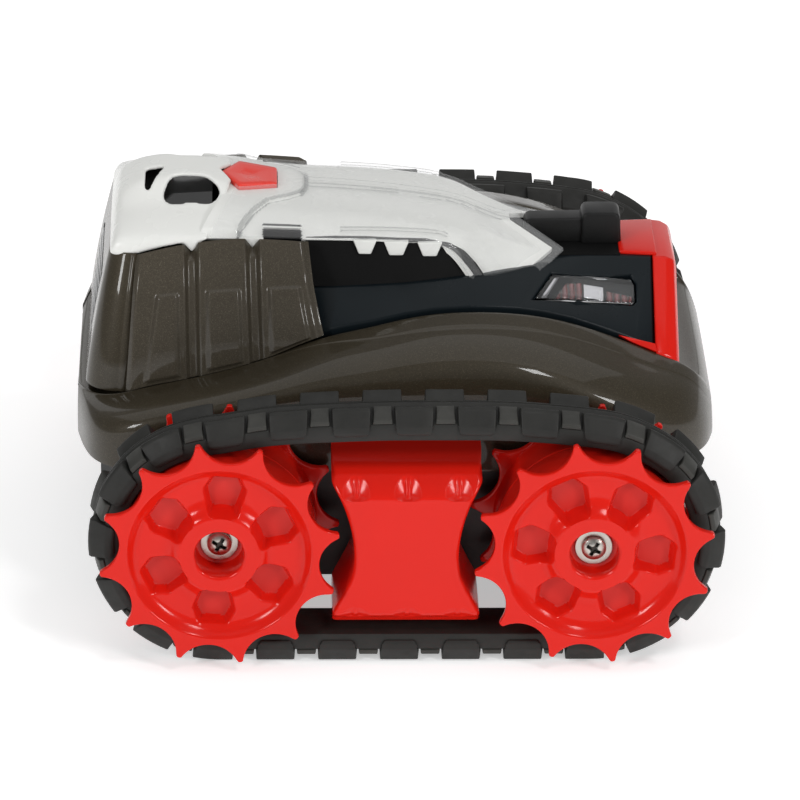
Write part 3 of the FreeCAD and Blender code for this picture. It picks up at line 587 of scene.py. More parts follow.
def belt_piece():
    # band: sloped down from a fine double ridge along the middle
    half = [(0.475, 1.572), (0.487, 1.592), (0.487, 1.80), (0.470, 1.845), (0.40, 1.880), (0.24, 1.935), (0.150, 1.965), (0.115, 1.990), (0.075, 2.022), (0.045, 2.034), (0.022, 2.034), (0.014, 2.012)]
    sec = [(-u, r) for u, r in half] + [(u, r) for u, r in reversed(half)] + [(0.42, 1.560), (0.0, 1.560), (-0.42, 1.560)]
    ns = 24 * 12
    vs = [on_belt(24.0 * i / ns, u, r) for i in range(ns) for u, r in sec]
    nc = len(sec)
    fs = []
    for i in range(ns):
        k = (i + 1) % ns
        for j in range(nc):
            j2 = (j + 1) % nc
            fs.append((i * nc + j, i * nc + j2, k * nc + j2, k * nc + j))
    band = obj_from("band", vs, fs, M_RUBBER)
    # tread lugs: big lugs on both halves, staggered by half a pitch, and small pads on the outer half
    bm = bmesh.new()

    def lug(sp, side, outline, w0, w1, top_in, bw, mi=0):
        t = bmesh.new()
        rows = []
        for sgn in (-1, 1):
            row = []
            for u, r, k in outline:
                w = lerp(w0, w1, min(1.0, u / 0.55)) - (0.0, top_in, 0.075, 0.015)[k]
                row.append(t.verts.new((sgn * w, side * u, r)))
            rows.append(row)
        n = len(outline)
        t.faces.new(rows[0])
        t.faces.new(list(reversed(rows[1])))
        for j in range(n):
            j2 = (j + 1) % n
            t.faces.new((rows[0][j2], rows[0][j], rows[1][j], rows[1][j2]))
        bmesh.ops.recalc_face_normals(t, faces=t.faces)
        bmesh.ops.subdivide_edges(t, edges=[e for e in t.edges if abs(e.verts[0].co.x - e.verts[1].co.x) > 0.2], cuts=4, use_grid_fill=False)
        sharp = [e for e in t.edges if len(e.link_faces) == 2 and e.calc_face_angle(0) > 0.35]
        bmesh.ops.bevel(t, geom=sharp, offset=bw, segments=3, profile=0.5, affect="EDGES", clamp_overlap=True)
        for f in t.faces:
            f.material_index = mi
        for v in t.verts:
            v.co = Vector(on_belt(sp + v.co.x, v.co.y, v.co.z))
        me = bpy.data.meshes.new("t")
        bmesh.ops.recalc_face_normals(t, faces=t.faces)
        t.to_mesh(me)
        t.free()
        bm.from_mesh(me)
        bpy.data.meshes.remove(me)

    big = [(0.05, 1.88, 0), (0.065, 1.975, 1), (0.20, 2.048, 1), (0.345, 2.098, 1), (0.40, 2.06, 1), (0.525, 1.83, 3), (0.538, 1.73, 3), (0.522, 1.672, 2), (0.46, 1.665, 2), (0.46, 1.84, 0)]
    small = [(0.13, 1.90, 0), (0.135, 2.030, 1), (0.34, 1.985, 1), (0.475, 1.935, 1), (0.488, 1.86, 0), (0.40, 1.84, 0)]
    for k in range(24):
        for side, off in ((-1, 0.0), (1, 0.5)):
            lug(k + PH + off, side, big, 0.322, 0.306, 0.004, 0.020)
            if side < 0:
                # the small pads take the lighter rubber copy with painted light
                lug(k + PH + off + 0.5, side, small, 0.158, 0.158, 0.012, 0.016, 1)
    me = bpy.data.meshes.new("lugs")
    bm.to_mesh(me)
    bm.free()
    for v in me.vertices:
        v.co = Vector(((v.co.x + XC) * 0.001, v.co.y * 0.001, v.co.z * 0.001))
    lugs = bpy.data.objects.new("lugs", me)
    me.materials.append(M_RUBBER)
    me.materials.append(M_RUBBER_PAINTED_LIGHT)
    bpy.context.scene.collection.objects.link(lugs)
    o = join("track_belt_right", [band, lugs])
    fix_normals(o)
    shade(o, 40)
    return o


belt_r = belt_piece()
belt_l = mirror_copy(belt_r, "track_belt_left")
done(belt_r, "chassis", "track_rubber", "track_right")
done(belt_l, "chassis", "track_rubber", "track_left")


# ------------------------------------------------------------------ wheels
NA = 480


def star_r(a_deg):
    """radius of the star outline, a_deg measured from a tip"""
    a = abs(((a_deg + 15.0) % 30.0) - 15.0)
    fi = math.radians(15.0 - a)
    rho, root = 0.518, 1.605
    d = root + rho
    q = rho * rho - (d * math.sin(fi)) ** 2
    r = d * math.cos(fi) - math.sqrt(max(q, 0.0)) if q > 0 else 1.95
    # blunt rounded tip
    return min(r, 1.944 - 0.018 * (min(a, 2.6) / 1.4) ** 2.4) if a < 2.6 else r


def hexa_sd(w, v):
    pts = [(-0.20, 0.262), (0.20, 0.262), (0.300, 0.075), (0.195, -0.285), (-0.195, -0.285), (-0.300, 0.075)]
    pts = [(0.84 * a, 0.84 * b) for a, b in pts]
    d = 1e9
    inside = True
    n = len(pts)
    for i in range(n):
        ax, ay = pts[i]
        bx, by = pts[(i + 1) % n]
        ex, ey = bx - ax, by - ay
        L = math.hypot(ex, ey)
        px, py = w - ax, v - ay
        t = max(0.0, min(1.0, (px * ex + py * ey) / (L * L)))
        d = min(d, math.hypot(px - ex * t, py - ey * t))
        if ex * py - ey * px > 0:
            inside = False
    return (-d if inside else d) - 0.048


FACE_PROF = [(0.400, 0.030), (0.425, 0.006), (0.45, 0.0), (0.62, 0.0), (0.66, 0.010), (0.71, 0.045), (0.78, 0.110), (0.86, 0.160), (0.96, 0.187), (1.10, 0.193), (1.22, 0.192), (1.28, 0.184),
             (1.335, 0.160), (1.38, 0.124), (1.42, 0.080), (1.455, 0.036), (1.48, 0.010), (1.495, 0.002), (1.51, 0.0), (1.60, 0.0)]


def face_depth(r, a_deg, pocket):
    d = table(FACE_PROF, r)[0] if r < 1.6 else 0.0
    if 0.60 < r < 1.42:
        th = ((a_deg - pocket + 30.0) % 60.0) - 30.0
        t = math.radians(th)
        w, v = r * math.sin(t), r * math.cos(t) - 0.985
        s = hexa_sd(w, v)
        if s < 0.062:
            k = smooth((0.062 - s) / 0.095)
            floor = 0.385
            d = lerp(d, floor, k)
    return d


def wheel_outer(name, which, pocket, tip):
    seat = (Y_OUT - SEAT[which]) / P
    rows = []          # list of (function a_deg -> (r, depth)), depth from the outer face, in P
    rows.append(lambda a: (0.190, seat))
    rows.append(lambda a: (0.355, seat))
    rows.append(lambda a: (0.384, seat - 0.010))
    rows.append(lambda a: (0.392, seat - 0.035))
    rows.append(lambda a: (0.395, 0.5 * seat))
    rows.append(lambda a: (0.395, 0.055))
    rad = [0.400, 0.410, 0.425, 0.45, 0.55, 0.61, 0.64, 0.67, 0.69, 0.71, 0.73, 0.75, 0.78, 0.81, 0.85, 0.90, 0.95, 1.0, 1.05, 1.09, 1.13, 1.16, 1.185, 1.205, 1.225, 1.245, 1.265, 1.285, 1.305, 1.33, 1.36, 1.39, 1.42,
           1.445, 1.465, 1.475, 1.482, 1.488, 1.494, 1.500, 1.51, 1.53]
    for r in rad:
        rows.append(lambda a, r=r: (r, face_depth(r, a, pocket)))
    td = 1.9 / P
    e = 0.022
    for t in (0.4, 0.8):
        rows.append(lambda a, t=t: (lerp(1.53, star_r(a - tip) - e, t), 0.0))
    rows.append(lambda a: (star_r(a - tip) - e, 0.0))
    rows.append(lambda a: (star_r(a - tip) - 0.3 * e, 0.3 * e))
    rows.append(lambda a: (star_r(a - tip), e))
    rows.append(lambda a: (star_r(a - tip), td - e))
    rows.append(lambda a: (star_r(a - tip) - 0.3 * e, td - 0.3 * e))
    rows.append(lambda a: (star_r(a - tip) - e, td))
    rows.append(lambda a: (1.570, td))
    rows.append(lambda a: (1.557, td + 0.010))
    rows.append(lambda a: (R_DRUM / P, td + 0.030))
    sp = (Y_OUT - Y_SPLIT) / P
    rows.append(lambda a: (R_DRUM / P, 0.5 * sp))
    rows.append(lambda a: (R_DRUM / P, sp - 0.02))
    rows.append(lambda a: (R_DRUM / P - 0.02, sp))
    rows.append(lambda a: (0.190, sp))
    vs = []
    for f in rows:
        for j in range(NA):
            a = 360.0 * j / NA
            r, d = f(a)
            t = math.radians(a)
            vs.append((r * P * math.sin(t), -Y_OUT + d * P, ZW + r * P * math.cos(t)))
    fs = grid_faces(len(rows), NA, True)
    k = (len(rows) - 1) * NA
    for j in range(NA):
        j2 = (j + 1) % NA
        fs.append((k + j, k + j2, j2, j))
    o = obj_from(name, vs, fs, [M_RED, M_REDS], XR if which == "rear" else XF)
    fix_normals(o)
    # satin texture on the pocket floors
    for p in o.data.polygons:
        c = p.center * 1000.0
        dep = Y_OUT + c.y
        if dep > 0.375 * P and dep < 0.395 * P:
            rr = math.hypot(c.x - (XR if which == "rear" else XF), c.z - ZW) / P
            if 0.66 < rr < 1.36:
                p.material_index = 1
    shade(o, 38)
    return o


def wheel_inner(name, which, tip):
    td = 1.9 / P
    e = 0.022
    y0 = Y_INF
    sp = (Y_SPLIT - 0.1 - y0) / P        # the drum reaches outwards to the split
    rows = [lambda a: (0.190, -sp), lambda a: (R_DRUM / P - 0.02, -sp), lambda a: (R_DRUM / P, -sp + 0.02), lambda a: (R_DRUM / P, -0.4), lambda a: (R_DRUM / P, -0.02), lambda a: (1.570, 0.0)]
    for t in (0.3, 0.7):
        rows.append(lambda a, t=t: (lerp(1.57, star_r(a - tip - 15.0) - e, t), 0.0))
    rows += [lambda a: (star_r(a - tip - 15.0) - e, 0.0), lambda a: (star_r(a - tip - 15.0) - 0.3 * e, 0.3 * e), lambda a: (star_r(a - tip - 15.0), e),
             lambda a: (star_r(a - tip - 15.0), td - e), lambda a: (star_r(a - tip - 15.0) - 0.3 * e, td - 0.3 * e), lambda a: (star_r(a - tip - 15.0) - e, td)]
    for r in (1.53, 1.50, 1.46, 1.40):
        rows.append(lambda a, r=r: (r, td - (0.0 if r > 1.49 else 0.05)))
    rows += [lambda a: (0.60, td - 0.05), lambda a: (0.42, td - 0.05), lambda a: (0.39, td - 0.02), lambda a: (0.37, td + 0.03), lambda a: (0.37, (Y_INF - 58.0) / P - 0.02), lambda a: (0.35, (Y_INF - 58.0) / P), lambda a: (0.190, (Y_INF - 58.0) / P)]
    vs = []
    for f in rows:
        for j in range(NA):
            a = 360.0 * j / NA
            r, d = f(a)
            t = math.radians(a)
            vs.append((r * P * math.sin(t), -y0 + d * P, ZW + r * P * math.cos(t)))
    fs = grid_faces(len(rows), NA, True)
    k = (len(rows) - 1) * NA
    for j in range(NA):
        j2 = (j + 1) % NA
        fs.append((k + j, k + j2, j2, j))
    o = obj_from(name, vs, fs, M_RED, XR if which == "rear" else XF)
    fix_normals(o)
    shade(o, 38)
    return o


def hub_screw(name, which):
    """washer and cross-recessed pan head"""
    s = SEAT[which]
    n = 96
    # washer
    prof = [(1.70, s + 0.02), (4.75, s + 0.02), (4.9, s + 0.12), (4.9, s + 0.62), (4.7, s + 0.80), (3.4, s + 0.80), (2.2, s + 0.70), (1.70, s + 0.66)]
    vs = [(r * math.sin(2 * math.pi * j / n), -y, ZW + r * math.cos(2 * math.pi * j / n)) for r, y in prof for j in range(n)]
    fs = grid_faces(len(prof), n, True)
    k = (len(prof) - 1) * n
    fs += [(k + j, k + (j + 1) % n, (j + 1) % n, j) for j in range(n)]
    w = obj_from("w", vs, fs, M_STEEL, XR if which == "rear" else XF)
    fix_normals(w)
    # head: polar heightfield with a cross recess
    radii = [0.0001, 0.3, 0.6, 0.8, 1.0, 1.15, 1.3, 1.45, 1.6, 1.75, 1.9, 2.1, 2.4, 2.7, 2.95, 3.08, 3.15, 3.15, 3.05, 1.5, 1.5]
    vs, m = [], 144
    for i, r in enumerate(radii):
        for j in range(m):
            a = 2 * math.pi * j / m
            x, z = r * math.sin(a + 0.5), r * math.cos(a + 0.5)
            x2, z2 = r * math.sin(a), r * math.cos(a)
            if i >= len(radii) - 4:
                y = [s + 1.2, s + 0.85, s + 0.82, s - 6.0][i - (len(radii) - 4)]
                if i == len(radii) - 4:
                    y = s + 1.3
                if i == len(radii) - 2:
                    y = s + 0.82
            else:
                y = s + 2.6 - 0.95 * (r / 3.15) ** 2.6
                arm = min(max(abs(x2) / 0.42, abs(z2) / 1.85), max(abs(z2) / 0.42, abs(x2) / 1.85))
                core = math.hypot(x2, z2) / 0.85
                dd = smooth((1.15 - min(arm, core)) / 0.35)
                y -= 1.15 * dd
            vs.append((x, -y, ZW + z))
    fs = grid_faces(len(radii), m, True)
    k = (len(radii) - 1) * m
    fs.append(tuple(range(m)))
    fs.append(tuple(k + j for j in range(m)))
    h = obj_from("h", vs, fs, [M_STEEL, M_STEEL_RECESS_SHADE], XR if which == "rear" else XF)
    fix_normals(h)
    # polygons deep in the cross recess take the near-black steel: painted shade
    for p in h.data.polygons:
        c = p.center * 1000.0
        rr = math.hypot(c.x - (XR if which == "rear" else XF), c.z - ZW)
        if rr < 1.95 and -c.y < s + 2.1:
            p.material_index = 1
    o = join(name, [w, h])
    shade(o, 35)
    return o


TIP = -10.0
for which, pocket, body in (("rear", 5.0, "drive_wheel_"), ("front", 35.0, "idler_wheel_")):
    a = wheel_outer("wheel_face_%s_right" % which, which, pocket, TIP)
    b = wheel_inner("wheel_back_%s_right" % which, which, TIP)
    c = hub_screw("hub_fastener_%s_right" % which, which)
    for o, node, slot in ((a, "wheel_outer_", "red_plastic"), (b, "wheel_inner_", "red_plastic"), (c, "hub_screw_", "steel")):
        m = mirror_copy(o, o.name.replace("_right", "_left"))
        done(o, body + "right", slot, node + which + "_right")
        done(m, body + "left", slot, node + which + "_left")


# ------------------------------------------------------------------ red pods between the wheels
def track_pod():
    yo = -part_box("track_pod_right")[0][1] * 1000.0
    z_lo, z_hi = 11.6, 55.2

    def half(z):
        return table([(11.6, 19.0), (15.3, 18.75), (16.7, 18.1), (19.5, 16.7), (25.1, 14.2), (30.7, 13.45), (36.3, 13.9), (41.9, 15.2), (47.5, 17.3), (50.5, 19.1), (51.5, 19.3), (53.0, 18.8), (55.2, 19.3)], z)[0]

    def front(z):
        """y of the face centre by height: flat, with sloping bands top and bottom"""
        return table([(11.6, 80.4), (13.2, 81.9), (14.2, 83.3), (15.0, 83.85), (15.8, yo), (18.0, yo), (44.0, yo), (46.8, yo), (47.7, yo - 0.15), (48.6, 83.3), (52.0, 80.3), (53.0, 79.2), (54.2, 76.6), (54.9, 72.5), (55.2, 70.0)], z)[0]

    zs = []
    z = z_lo
    while z < z_hi + 1e-6:
        zs.append(z)
        z += 0.30
    zs[-1] = z_hi
    nu = 141
    vs = []
    for z in zs:
        h = half(z)
        for j in range(nu):
            u = -1 + 2.0 * j / (nu - 1)
            x = h * u
            y = front(z)
            edge = (1 - abs(u)) * h
            if edge < 1.3:
                y -= 1.3 - math.sqrt(max(0.0, 1.69 - (1.3 - edge) ** 2))
            # conical scoops across both bevels
            for kx in (-13.0, 0.25, 13.3):
                for kz, rx, rz, up, dp in ((48.2, 3.5, 4.3, 1.2, 1.9), (14.3, 3.6, 2.6, 1.0, 1.1)):
                    q = math.hypot((x - kx) / rx, (z - kz) / (rz if z > kz else up))
                    if q < 1.0:
                        y -= dp * (1.0 - q) ** 0.85 * (1.0 - 0.5 * smooth((0.25 - abs(x - kx) / rx) / 0.15) * smooth((z - kz + 1.0) / 1.0))
            vs.append((x, -y, z))
    nr = len(zs)
    fs = grid_faces(nr, nu)
    # back rim at the chassis side
    n0 = len(vs)
    for z in zs:
        h = half(z)
        for j in range(nu):
            u = -1 + 2.0 * j / (nu - 1)
            vs.append((h * u, -60.35, z))
    fs += [tuple(reversed(f)) for f in grid_faces(nr, nu, False, n0)]
    for i in range(nr - 1):
        a, b = i * nu, (i + 1) * nu
        fs.append((a, b, n0 + b, n0 + a))
        a, b = i * nu + nu - 1, (i + 1) * nu + nu - 1
        fs.append((b, a, n0 + a, n0 + b))
    for j in range(nu - 1):
        fs.append((j, j + 1, n0 + j + 1, n0 + j))
        a = (nr - 1) * nu + j
        fs.append((a + 1, a, n0 + a, n0 + a + 1))
    o = obj_from("wheel_pod_right", vs, fs, M_RED)
    fix_normals(o)
    shade(o, 40)
    return o


pod_r = track_pod()
pod_l = mirror_copy(pod_r, "wheel_pod_left")
done(pod_r, "chassis", "red_plastic", "track_pod_right")
done(pod_l, "chassis", "red_plastic", "track_pod_left")

# ------------------------------------------------------------------ fender shell
# x, side y, side z, shoulder y, shoulder z, crest y, crest z
FEND = [
    (-85.4, 34.0, 50.0, 31.0, 52.5, 24.0, 54.0),
    (-83.0, 47.0, 52.0, 43.0, 55.0, 34.0, 56.0),
    (-76.0, 57.0, 55.0, 52.0, 57.5, 39.5, 57.0),
    (-66.0, 59.6, 58.0, 55.0, 60.5, 40.0, 59.5),
    (-54.0, 60.0, 60.5, 55.5, 63.0, 40.0, 62.0),
    (-38.0, 60.0, 64.5, 55.5, 67.0, 40.0, 66.5),
    (-21.0, 60.0, 68.0, 55.5, 71.5, 40.0, 73.6),
    (-10.0, 60.0, 69.0, 55.5, 73.0, 39.8, 75.9),
    (3.0, 60.0, 70.0, 55.5, 75.0, 39.0, 79.0),
    (16.0, 60.0, 70.5, 55.5, 75.8, 38.5, 80.0),
    (29.0, 60.0, 70.0, 55.5, 75.0, 38.0, 79.4),
    (41.0, 60.0, 67.0, 55.5, 72.0, 37.0, 77.0),
    (54.0, 59.0, 62.0, 54.0, 67.0, 35.5, 72.0),
    (66.0, 56.0, 56.5, 51.0, 62.0, 34.5, 66.5),
    (75.0, 50.0, 52.0, 45.0, 57.5, 33.0, 62.0),
    (80.0, 42.0, 48.5, 38.0, 52.0, 30.0, 55.5),
    (81.8, 34.0, 46.5, 31.0, 48.5, 26.0, 50.5),
]


def crest(x):
    r = table(FEND, x)
    return r[4], r[5]


def fender():
    xs = [-85.4, -85.1, -84.0, -82.0, -79.0, -75.0, -70.0, -64.0, -57.0, -49.0, -41.0, -33.0, -25.0, -17.0, -9.0, -1.0, 7.0, 15.0, 23.0, 31.0, 39.0, 47.0, 54.0, 60.0, 66.0, 71.0, 75.0, 78.0, 80.0, 81.2, 81.7]
    rows = []
    for x in xs:
        ys, zs, yh, zh, yc, zc = table(FEND, x)
        # flat band just outside the crest, then the glossy flank
        bw = 5.2 * smooth((x + 40.0) / 40.0) * (1.0 - 0.4 * smooth((x - 60) / 20.0)) + 1.2
        by, bz = yc + bw, lerp(zc, zh, bw / max(yh - yc, 1.0)) + 0.55
        rec = min(smooth((x + 82.5) / 5.0), smooth((79.5 - x) / 5.0))
        half = [(ys - 0.2, 44.2), (ys, 44.9), (ys, lerp(44.2, zs, 0.5)), (ys, zs - 1.2), (lerp(ys, yh, 0.30), lerp(zs, zh, 0.42)), (yh, zh), (lerp(yh, by, 0.45), lerp(zh, bz, 0.5) + 0.25), (by + 0.35, bz - 0.25), (by, bz),
                (yc + 0.5, zc + 0.25), (yc, zc), (yc - 0.6, zc + 0.1 - 0.6 * rec), (yc - 1.2, zc + 0.15 - 2.6 * rec), (yc - 3.0, zc + 0.2 - 3.2 * rec), (12.0, zc + 0.6 - 3.8 * rec), (0.0, zc + 0.7 - 3.9 * rec)]
        rows.append([(x, -y, z) for y, z in half] + [(x, y, z) for y, z in reversed(half[:-1])])
    nc = len(rows[0])
    vs = [p for r in rows for p in r]
    fs = grid_faces(len(rows), nc)
    # end walls: a shrinking ring of the upper outline, then one face
    h = nc // 2
    for base in (0, (len(rows) - 1) * nc):
        x0 = vs[base][0]
        d = 0.02 if base == 0 else -0.02
        ring = []
        for j in range(nc):
            x, y, z = vs[base + j]
            ring.append(len(vs))
            vs.append((x0 + d, y * 0.86, lerp(44.2, z, 0.80) if 0 < j < nc - 1 else 44.2))
        for j in range(nc - 1):
            fs.append((base + j, base + j + 1, ring[j + 1], ring[j]))
        for j in range(h):
            q = (ring[j], ring[j + 1], ring[nc - 2 - j], ring[nc - 1 - j])
            fs.append(q if len(set(q)) == 4 else tuple(dict.fromkeys(q)))
    o = obj_from("body_fenders", vs, fs, M_GUN)
    fix_normals(o)
    me = o.data
    cr = me.attributes.new("crease_edge", "FLOAT", "EDGE")
    for e in me.edges:
        a, b = e.vertices
        if a >= len(rows) * nc or b >= len(rows) * nc:
            continue
        ja, jb = a % nc, b % nc
        v = 0.0
        if ja == jb:
            j = min(ja, nc - 1 - ja)
            if j in (8,):
                v = 0.75
            if j in (10, 0):
                v = 0.6
        cr.data[e.index].value = v
    subsurf(o, 3)
    apply_mods(o)
    solidify(o, 0.7, -1.0)
    apply_mods(o)
    for v in o.data.vertices:
        v.co.x = max((XC - 85.45) * 0.001, min((XC + 81.75) * 0.001, v.co.x))
    shade(o, 50)
    return o


fend = fender()
done(fend, "chassis", "gunmetal", "fender_shell")


# ------------------------------------------------------------------ ribbed side pods
def side_pod():
    """panel with three raised ribs; rows across X, columns down the flank"""
    POD = [(-73.0, 28.0, 91.0, 33.0, 83.0), (-57.0, 28.0, 94.8, 33.4, 85.0), (-42.0, 28.0, 96.4, 33.8, 86.0), (-20.5, 28.0, 95.2, 33.8, 86.5)]
    nx, nz = 220, 90

    def edges(t):
        """x of the panel's rear and front edge at flank parameter t (0 top, 1 bottom)"""
        return lerp(-69.8, -72.6, t), lerp(-24.9, -20.9, t)

    grooves = [(-55.4, -54.8), (-39.5, -38.4)]
    vs = []
    for i in range(nx):
        s = i / (nx - 1.0)
        for j in range(nz):
            t = j / (nz - 1.0)
            xa, xb = edges(t)
            x = lerp(xa, xb, s)
            yt, zt, yk, zk = table(POD, x)
            yc, zc = crest(x)
            zc += 0.2
            # flank section: top edge, knee, foot
            if t < 0.30:
                k = t / 0.30
                y, z = lerp(yt, yk, k), lerp(zt, zk, k)
                y += 0.9 * math.sin(math.pi * k) * 0.5
            else:
                k = (t - 0.30) / 0.70
                y, z = lerp(yk, yc - 0.6, k), lerp(zk, zc, k)
                y += 0.8 * math.sin(math.pi * k)
            # ribs: distance to the nearest groove
            g = min(abs(x - lerp(a, b, t)) for a, b in grooves)
            tw = 2.7 if t > 0.03 else 2.7 + 3.0 * (0.03 - t) / 0.03
            lift = 1.40 * smooth((g - 0.55) / 1.7)
            # rear and front ends fall back
            de = min(x - xa, 99)
            df = min(xb - x, 99)
            lift *= smooth((de + 0.5) / 1.8)
            lift *= smooth((df + 0.3) / 2.6)
            # raised facet on each rib, from just under the knee to the foot
            ribs = [(xa, lerp(*grooves[0], t)), (lerp(*grooves[0], t), lerp(*grooves[1], t)), (lerp(*grooves[1], t), xb)]
            for ra, rb in ribs:
                if ra <= x <= rb:
                    m0, m1 = ra + 3.2, rb - 3.0
                    if ra == xa:
                        m0 = ra + lerp(4.4, 6.5, 1 - t)
                    f = smooth((x - m0) / 1.5) * smooth((m1 - x) / 1.5) * smooth((t - 0.325) / 0.035) * smooth((0.985 - t) / 0.03)
                    lift += 0.85 * f
            y += lift * 0.92
            z += lift * 0.30
            # V nicks in the top edge over the grooves
            if t < 0.12:
                nick = max(0.0, 1.0 - g / 1.9)
                z -= 2.6 * nick * (1 - t / 0.12)
            vs.append((x, -y, z))
    fs = grid_faces(nx, nz)
    o = obj_from("ribbed_pod_right", vs, fs, M_PANEL)
    bm = bmesh.new()
    bm.from_mesh(o.data)
    bmesh.ops.recalc_face_normals(bm, faces=bm.faces)
    if sum(f.normal.y * f.calc_area() for f in bm.faces) > 0:
        bmesh.ops.reverse_faces(bm, faces=bm.faces)
    bm.to_mesh(o.data)
    bm.free()
    solidify(o, 1.8, -1.0)
    apply_mods(o)
    bevel(o, 0.25, 2, 60)
    apply_mods(o)
    shade(o, 34)
    return o


sp_r = side_pod()
sp_l = mirror_copy(sp_r, "ribbed_pod_left")
done(sp_r, "chassis", "gunmetal", "side_pod_right")
done(sp_l, "chassis", "gunmetal", "side_pod_left")


# ------------------------------------------------------------------ rear wall and grille
def rear_wall():
    """vertical rounded corner band behind the side pods, wrapping the tail"""
    # plan path of the outer surface at height parameter t: from the seam round the corner to the middle
    n, m = 60, 40
    vs = []
    for i in range(m):
        t = i / (m - 1.0)                 # 0 bottom, 1 top
        z = lerp(57.6, 92.4, t)
        xr = table([(57.6, -83.2), (64.0, -82.3), (74.0, -80.6), (84.0, -78.6), (92.4, -76.7)], z)[0]
        yw = table([(57.6, 38.6), (66.0, 37.2), (80.0, 33.2), (92.4, 28.4)], z)[0]
        xs = lerp(-71.6, -69.6, t)        # seam with the pods
        cr = lerp(8.5, 6.0, t)
        pts = []
        for j in range(n):
            s = j / (n - 1.0)
            if s < 0.30:
                k = s / 0.30
                pts.append((lerp(xs, xr + cr, k), -yw - 0.35 * math.sin(math.pi * k)))
            elif s < 0.65:
                a = (s - 0.30) / 0.35 * math.pi / 2
                pts.append((xr + cr - cr * math.sin(a), -yw + cr - cr * math.cos(a)))
            else:
                k = (s - 0.65) / 0.35
                pts.append((xr, lerp(-yw + cr, 0.0, k)))
        full = pts + [(x, -y) for x, y in reversed(pts[:-1])]
        vs += [(x, y, z) for x, y in full]
    nc = 2 * n - 1
    fs = grid_faces(m, nc)
    o = obj_from("rear_wall_band", vs, fs, M_GUN)
    bm = bmesh.new()
    bm.from_mesh(o.data)
    bmesh.ops.recalc_face_normals(bm, faces=bm.faces)
    if sum(f.normal.x * f.calc_area() for f in bm.faces) > 0:
        bmesh.ops.reverse_faces(bm, faces=bm.faces)
    # opening for the grille
    kill = [f for f in bm.faces if abs(f.calc_center_median().y) < 0.0168 and 0.0632 < f.calc_center_median().z < 0.0822 and f.normal.x < -0.5]
    bmesh.ops.delete(bm, geom=kill, context="FACES")
    bm.to_mesh(o.data)
    bm.free()
    solidify(o, 1.8, -1.0)
    apply_mods(o)
    bevel(o, 0.3, 2, 60)
    apply_mods(o)
    shade(o, 34)
    return o


done(rear_wall(), "chassis", "gunmetal", "rear_wall")


def grille():
    parts = []

    def xr(z):
        return table([(57.6, -83.2), (64.0, -82.3), (74.0, -80.6), (84.0, -78.6), (92.4, -76.7)], z)[0]

    for k in range(6):
        z = 64.2 + 3.1 * k
        pts = [(xr(z) - 0.1, z), (xr(z) + 3.2, z - 0.2), (xr(z + 2.0) + 3.2, z + 1.6), (xr(z + 1.6) - 0.1, z + 1.7)]
        b = prism("bar", pts, "y", -16.2, 16.2, M_TRAY)
        bevel(b, 0.35, 3)
        apply_mods(b)
        parts.append(b)
    back = prism("bk", [(xr(62.9) + 2.6, 62.9), (xr(62.9) + 3.6, 62.9), (xr(82.2) + 3.6, 82.2), (xr(82.2) + 2.6, 82.2)], "y", -17.0, 17.0, M_BLACK)
    parts.append(back)
    for s in (-1, 1):
        a, b = sorted((s * 16.0, s * 17.0))
        f = prism("fr", [(xr(62.9) - 0.15, 62.9), (xr(62.9) + 3.4, 62.9), (xr(82.2) + 3.4, 82.2), (xr(82.2) - 0.15, 82.2)], "y", a, b, M_TRAY)
        bevel(f, 0.2, 2)
        apply_mods(f)
        parts.append(f)
    o = join("rear_grille_bars", parts)
    shade(o, 35)
    return o


done(grille(), "chassis", "black_plastic", "rear_grille")

# ------------------------------------------------------------------ tail cowl
COWL = [
    (-76.6, 94.5, 20.0, 93.8, 27.0, 92.9, 90.8),
    (-75.4, 100.0, 21.0, 97.6, 27.6, 94.8, 89.8),
    (-72.0, 103.6, 21.5, 99.9, 28.0, 95.6, 89.2),
    (-65.0, 105.9, 22.0, 101.2, 28.4, 96.6, 91.8),
    (-55.0, 106.2, 22.0, 101.4, 28.6, 97.0, 94.4),
    (-48.0, 105.0, 22.0, 100.9, 28.5, 96.9, 95.2),
    (-44.0, 103.6, 22.0, 100.4, 28.4, 96.8, 95.4),
]
BTN = [(-47.8, 0.0), (-43.0, 8.4), (-32.9, 5.6), (-32.9, -5.6), (-43.0, -8.4)]


def round_poly(pts, r, n=5):
    out = []
    k = len(pts)
    for i in range(k):
        p0, p1, p2 = Vector(pts[i - 1]), Vector(pts[i]), Vector(pts[(i + 1) % k])
        a = (p0 - p1).normalized()
        b = (p2 - p1).normalized()
        ang = a.angle(b)
        d = min(r / math.tan(ang / 2), 0.45 * (p0 - p1).length, 0.45 * (p2 - p1).length)
        s, e = p1 + a * d, p1 + b * d
        for j in range(n + 1):
            t = j / n
            q = s * (1 - t) ** 2 + p1 * 2 * t * (1 - t) + e * t * t
            out.append((q.x, q.y))
    return out


